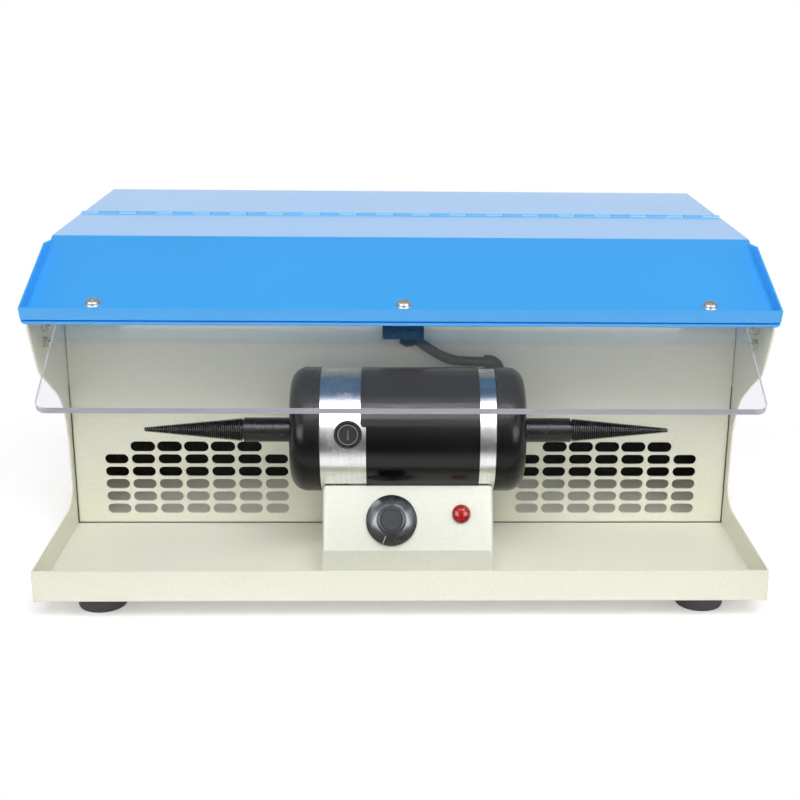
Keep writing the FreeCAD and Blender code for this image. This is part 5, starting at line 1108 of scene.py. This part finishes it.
@dataclass
class ControlBox:
    """Box under the motor with the speed knob and the lamp."""

    shop: Shop
    at: float = 31.0
    knee: float = 35.0
    panel_at: float = 47.8
    top: float = 73.2
    knob: tuple[float, float] = (-7.5, 19.4)
    lamp: tuple[float, float] = (37.5, 23.6)
    dish_rim: tuple[float, float] = (16.1, 2.0)
    dish_foot: tuple[float, float] = (10.6, 4.9)
    ribs: int = 48
    rib_depth: float = 0.08

    def build(self) -> None:
        """Build and dress every piece of the control box."""
        pal = self.shop.palette
        self.shop.softened("control_box", pal.box_cream, 0.35)
        self.speed_knob()
        self.lamp_lens()
        self.shop.softened("lamp_body", pal.moulded, 0.15)
        self.shop.softened("knob_shaft", pal.steel, 0.2)
        self.shop.softened("potentiometer_nut", pal.zinc, 0.2)
        self.shop.dress({"speed_potentiometer": pal.zinc, "control_board": pal.board,
                         "board_standoffs": pal.brass})

    def panel(self, off: float, up: float) -> Matrix:
        """Return the frame of a panel fitting, whose +Z stands out of the panel.

        Args:
            off: millimetres right of the cabinet's middle.
            up: millimetres above the knee, along the panel.

        Returns:
            The transform to the machine's frame.
        """
        lean = math.atan2(self.panel_at - self.at, self.top - self.knee)
        spot = from_front(off, self.at + up * math.sin(lean), self.knee + up * math.cos(lean))
        return Matrix.Translation(spot) @ Matrix.Rotation(math.pi / 2 - lean, 4, "X")

    def speed_knob(self) -> None:
        """Build the knob: dished skirt, ribbed grip, inset cap and a painted pointer."""
        place = self.panel(*self.knob)
        pal = self.shop.palette
        skirt = lathe_turned([(8.0, 0.5), (16.0, 0.5), (16.4, 0.9), (16.4, 1.6), self.dish_rim, self.dish_foot,
                              (9.9, 5.2), (8.0, 5.2)], 96, closed=True)
        for face in skirt.faces:
            face.material_index = 1
        whole = joined([skirt, self.grip()])
        bmesh.ops.transform(whole, matrix=place, verts=whole.verts)
        self.shop.piece(whole, "speed_knob_dressed", pal.knob, ["speed_knob"], smooth=28, patch=pal.dish)
        self.mark("knob_pointer", pal.white_mark, (0.5, 5.8, 0.3), 13.3, 160)
        # Painted reflection: a dark patch on the top of the dish, where the dish mirrors dark surroundings.
        self.mark("knob_index", pal.dark_reflection_paint, (4.4, 6.8, 0.3), 12.9, 0)

    def mark(self, name: str, paint: Paint, size: Triple, out: float, turn: float) -> None:
        """Lay one painted mark on the knob's dished skirt.

        Args:
            name: name of the piece.
            paint: its finish.
            size: width, length and thickness in millimetres.
            out: distance of its middle from the knob's axis in millimetres.
            turn: degrees from the top, seen from the front, counter-clockwise.
        """
        run, climb = self.dish_rim[0] - self.dish_foot[0], self.dish_foot[1] - self.dish_rim[1]
        rise = self.dish_rim[1] + (self.dish_rim[0] - out) * climb / run
        bm = rounded_block(size, (0, 0, 0), 0.1)
        seat = Matrix.Translation(Vector((0, out, rise)) * MM) @ Matrix.Rotation(-math.atan2(climb, run), 4, "X")
        around = Matrix.Rotation(math.radians(turn), 4, "Z")
        bmesh.ops.transform(bm, matrix=self.panel(*self.knob) @ around @ seat, verts=bm.verts)
        self.shop.piece(bm, name, paint, [], Body.KNOB)

    def grip(self) -> Mesh:
        """Turn the knob's grip and press fine ribs into its side.

        Returns:
            The grip about Z.
        """
        foot, shoulder, crown = 4.8, 14.2, 15.4
        grip = lathe_turned([
            (0, foot), (9.3, foot), (9.3, foot + 0.4), (9.2, shoulder - 0.3), (9.2, shoulder), (8.9, shoulder + 0.5),
            (8.3, crown - 0.3), (7.7, crown), (7.3, crown), (7.1, crown - 0.35), (6.8, crown - 0.35),
            (6.6, crown - 0.1), (0, crown + 0.1)], 288)
        for vert in grip.verts:
            if math.hypot(vert.co.x, vert.co.y) > 8.8 * MM:
                dip = 0.5 - 0.5 * math.cos(self.ribs * math.atan2(vert.co.y, vert.co.x))
                share = 1 - self.rib_depth * dip
                vert.co.x *= share
                vert.co.y *= share
        return grip

    def lamp_lens(self) -> None:
        """Turn the domed lens with its flange."""
        dome = [(5.5 * math.cos(math.radians(a)), 1.7 + 3.0 * math.sin(math.radians(a))) for a in range(0, 90, 9)]
        lens = lathe_turned([(0, 0.6), (5.9, 0.6), (6.0, 0.8), (6.0, 1.4), (5.8, 1.65)] + dome + [(0, 4.7)], 64)
        bmesh.ops.transform(lens, matrix=self.panel(*self.lamp), verts=lens.verts)
        self.shop.piece(lens, "lamp_lens_dressed", self.shop.palette.red, ["lamp_lens"], smooth=50)


@dataclass
class Rear:
    """Fan, guard and power inlet behind the filter, and the screws under the tray."""

    shop: Shop
    hole_pitch: float = 105.0
    fan_level: float = 118.0
    head: float = 2.4
    head_radius: float = 3.8

    def build(self) -> None:
        """Build and dress every piece at the back."""
        pal = self.shop.palette
        for row in (("fan_housing", pal.moulded, 0), ("fan_impeller", pal.moulded, 0, 40),
                    ("fan_guard", pal.chrome, 0, 60), ("fan_coil", pal.copper, 0),
                    ("power_inlet", pal.moulded, 0.25), ("inlet_pins", pal.brass, 0.2)):
            self.shop.softened(*row)
        self.fan_screws()
        self.inlet_screws()
        self.base_screws()

    def fan_screws(self) -> None:
        """Set the four screws that hold guard and fan."""
        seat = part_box("fan_screws")[1].y - self.head * MM
        half = self.hole_pitch / 2 * MM
        places = [upright(Vector((a * half, seat, self.fan_level * MM + b * half)), "X", -90)
                  for a in (-1, 1) for b in (-1, 1)]
        self.shop.fasteners("fan_screws", PanScrew().mesh(13), places)

    def inlet_screws(self) -> None:
        """Set the two screws of the power inlet."""
        low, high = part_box("inlet_screws")
        seat, radius = high.y - self.head * MM, self.head_radius * MM
        middle = (low.z + high.z) / 2
        places = [upright(Vector((x, seat, middle)), "X", -90) for x in (low.x + radius, high.x - radius)]
        self.shop.fasteners("inlet_screws", PanScrew().mesh(7.8), places)

    def base_screws(self) -> None:
        """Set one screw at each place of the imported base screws."""
        bm = self.shop.copy_of("base_screws")
        islands = self.islands(bm)
        bm.free()
        places = []
        for low, high in islands:
            middle = (low + high) / 2
            places.append(upright(Vector((middle.x, middle.y, low.z + self.head * MM)), "X", 180))
        self.shop.fasteners("base_screws", PanScrew().mesh(9), places)

    @staticmethod
    def islands(bm: Mesh) -> list[tuple[Vector, Vector]]:
        """Return the lowest and highest corner of each separate solid in a mesh."""
        left = set(bm.verts)
        found = []
        while left:
            stack = [left.pop()]
            group = list(stack)
            while stack:
                for edge in stack.pop().link_edges:
                    for vert in edge.verts:
                        if vert in left:
                            left.remove(vert)
                            stack.append(vert)
                            group.append(vert)
            low = Vector([min(v.co[i] for v in group) for i in range(3)])
            high = Vector([max(v.co[i] for v in group) for i in range(3)])
            found.append((low, high))
        return found


# ---------------------------------------------------------------- studio


@dataclass
class Studio:
    """White floor and surroundings, soft lamps and the camera."""

    place: Triple = (-4.48, -788.31, 389.0)
    yaw: float = 0.0342
    pitch: float = 0.3095
    roll: float = 0.0126
    focal: float = 1379.62
    centre: tuple[float, float] = (441.33, 414.81)
    picture: int = 800
    sensor: float = 36.0
    ambient: float = 0.2
    bounce: float = 0.6
    strip_glow: float = 7.0
    boxes: tuple[tuple[str, Triple, Triple, tuple[float, float], float], ...] = (
        ("low", (-0.3, -2.3, 0.95), (0, 0, 0.12), (2.4, 1.1), 11),
        ("high", (0.2, -1.6, 2.0), (0, 0, 0.12), (2.2, 1.1), 43),
        ("left", (-2.0, -0.6, 0.9), (0, 0, 0.1), (1.2, 1.2), 8),
        ("right", (2.0, -0.6, 0.9), (0, 0, 0.1), (1.2, 1.2), 8),
        ("back", (0.0, 2.0, 0.7), (0, 0.05, 0.12), (2.0, 0.9), 14),
        ("chamber", (0.0, -0.012, 0.16), (0, -0.012, 0), (0.38, 0.04), 0.1))

    def build(self) -> None:
        """Set up camera, lamps, floor and world."""
        self.camera()
        self.lamps()
        self.floor()
        self.world()
        bpy.context.scene.view_settings.view_transform = "Standard"

    def camera(self) -> None:
        """Place the camera."""
        ahead = Vector((math.sin(self.yaw) * math.cos(self.pitch), math.cos(self.yaw) * math.cos(self.pitch),
                        -math.sin(self.pitch)))
        right = Vector((math.cos(self.yaw), -math.sin(self.yaw), 0))
        up = right.cross(ahead)
        across = right * math.cos(self.roll) + up * math.sin(self.roll)
        above = up * math.cos(self.roll) - right * math.sin(self.roll)
        data = bpy.data.cameras.new("camera")
        data.sensor_width = self.sensor
        data.lens = self.focal / self.picture * self.sensor
        data.shift_x = -(self.centre[0] - self.picture / 2) / self.picture
        data.shift_y = (self.centre[1] - self.picture / 2) / self.picture
        data.clip_start = 0.01
        thing = put_down("camera", data)
        spot = Vector(self.place) * MM + Vector((0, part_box("base_tray")[0].y, 0))
        turn = Matrix((across, above, -ahead)).transposed().to_4x4()
        thing.matrix_world = Matrix.Translation(spot) @ turn
        bpy.context.scene.camera = thing

    def lamps(self) -> None:
        """Hang the soft lamps: two in front, one at each side, one behind and a faint one in the filter chamber."""
        for name, spot, aim, size, power in self.boxes:
            self.softbox(name, Vector(spot), Vector(aim), size, power)

    @staticmethod
    def softbox(name: str, spot: Vector, aim: Vector, size: tuple[float, float], power: float) -> None:
        """Hang one rectangular lamp.

        Args:
            name: name of the lamp.
            spot: its place in metres.
            aim: the point that it faces.
            size: its width and height in metres.
            power: watts.
        """
        data = bpy.data.lights.new(name, "AREA")
        data.shape = "RECTANGLE"
        data.size, data.size_y = size
        data.energy = power
        lamp = put_down(name, data)
        lamp.visible_glossy = False
        lamp.matrix_world = Matrix.Translation(spot) @ (spot - aim).to_track_quat("Z", "Y").to_matrix().to_4x4()

    @staticmethod
    def floor() -> None:
        """Lay the white floor, which fades into the white surroundings."""
        bm = bmesh.new()
        bmesh.ops.create_grid(bm, x_segments=8, y_segments=8, size=6.0)
        material, w = new_material("Studio floor")
        oval = w.stretched(w.spot(), (1 / 0.32, 1 / 0.24, 0))
        reach = w.add("VectorMath", {0: oval}, operation="LENGTH")
        fade = w.remap(reach.outputs["Value"], 0.0, 1.0, 1.0, 1.5)
        white = w.add("BsdfDiffuse", {"Color": (0.86, 0.86, 0.86, 1)})
        path = w.add("LightPath").outputs
        direct = w.maths("MAXIMUM", path["Is Camera Ray"], path["Is Transmission Ray"])
        lift = w.maths("MULTIPLY", w.maths("MAXIMUM", direct, path["Is Glossy Ray"]), 0.32)
        glow = w.add("Emission", {"Color": (1, 1, 1, 1), "Strength": lift})
        lit = w.add("AddShader", {0: white.outputs[0], 1: glow.outputs[0]})
        gone = w.add("BsdfTransparent")
        w.finish(w.add("MixShader", {0: fade, 1: lit.outputs[0], 2: gone.outputs[0]}))
        floor = as_object(bm, "floor")
        floor.data.materials.append(material)

    def world(self) -> None:
        """Make the surroundings white to the eye and low behind the machine, and soft as light."""
        world = bpy.data.worlds.new("Studio")
        bpy.context.scene.world = world
        world.use_nodes = True
        w = Wiring(world.node_tree)
        path = w.add("LightPath").outputs
        seen = w.maths("MAXIMUM", path["Is Camera Ray"], path["Is Transmission Ray"])
        way = w.add("SeparateXYZ", {"Vector": w.add("TexCoord").outputs["Generated"]}).outputs
        ahead = w.maths("MULTIPLY", way["Y"], -1.0)
        angle = w.maths("ARCTAN2", way["Z"], ahead)
        room = w.add("ValToRGB", {"Fac": w.remap(angle, 0.0, 1.0, -math.pi, math.pi)})
        self.bands(room.color_ramp)
        azimuth = w.maths("ARCTAN2", w.maths("ABSOLUTE", way["X"]), ahead)
        wide = w.maths("COMPARE", azimuth, math.radians(42), math.radians(20))
        strip = w.maths("MULTIPLY", wide, w.maths("COMPARE", way["Z"], 0.3, 0.3))
        mirrored = w.blend(strip, room.outputs["Color"], (self.strip_glow, self.strip_glow, self.strip_glow, 1))
        ambient = w.remap(way["Z"], self.bounce, self.ambient, -0.08, 0.08)
        soft = w.blend(path["Is Glossy Ray"], ambient, mirrored)
        light = w.add("Background", {"Color": w.blend(seen, soft, (1, 1, 1, 1)), "Strength": 1.0})
        w.finish(light, "OutputWorld")

    @staticmethod
    def bands(ramp: bpy.types.ColorRamp) -> None:
        """Set how bright the mirrored room is, by the angle in degrees above the front horizon.

        Args:
            ramp: the colour ramp, from 180 degrees below to 180 degrees above.
        """
        stops = ((-180, 1.0), (-48, 1.0), (-40, 0.14), (-4, 0.14), (14, 0.45), (40, 0.85), (78, 0.95), (86, 0.2),
                 (98, 0.2), (103, 0.3), (107, 0.12), (150, 0.12), (163, 1.0))
        while len(ramp.elements) < len(stops):
            ramp.elements.new(1.0)
        for element, (degrees, level) in zip(ramp.elements, stops):
            element.position = (degrees + 180) / 360
            element.color = (level, level, level, 1)


def write_sizes() -> None:
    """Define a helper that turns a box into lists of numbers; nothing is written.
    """
    def plain(box: tuple[Vector, Vector]) -> list[list[float]]:
        """Return a box as lists of numbers."""
        return [[float(value) for value in corner] for corner in box]


def main() -> None:
    """Load the frame, build every sub-assembly in order and set up the studio."""
    logging.basicConfig(level=logging.INFO, format="%(name)s: %(message)s")
    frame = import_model()
    Studio().build()
    shop = Shop(frame, Palette())
    for assembly in (Motor(shop), Cabinet(shop), Hood(shop), ControlBox(shop), Rear(shop)):
        LOG.info("assembly %s", type(assembly).__name__)
        assembly.build()
    write_sizes()


if __name__ == "__main__":
    main()
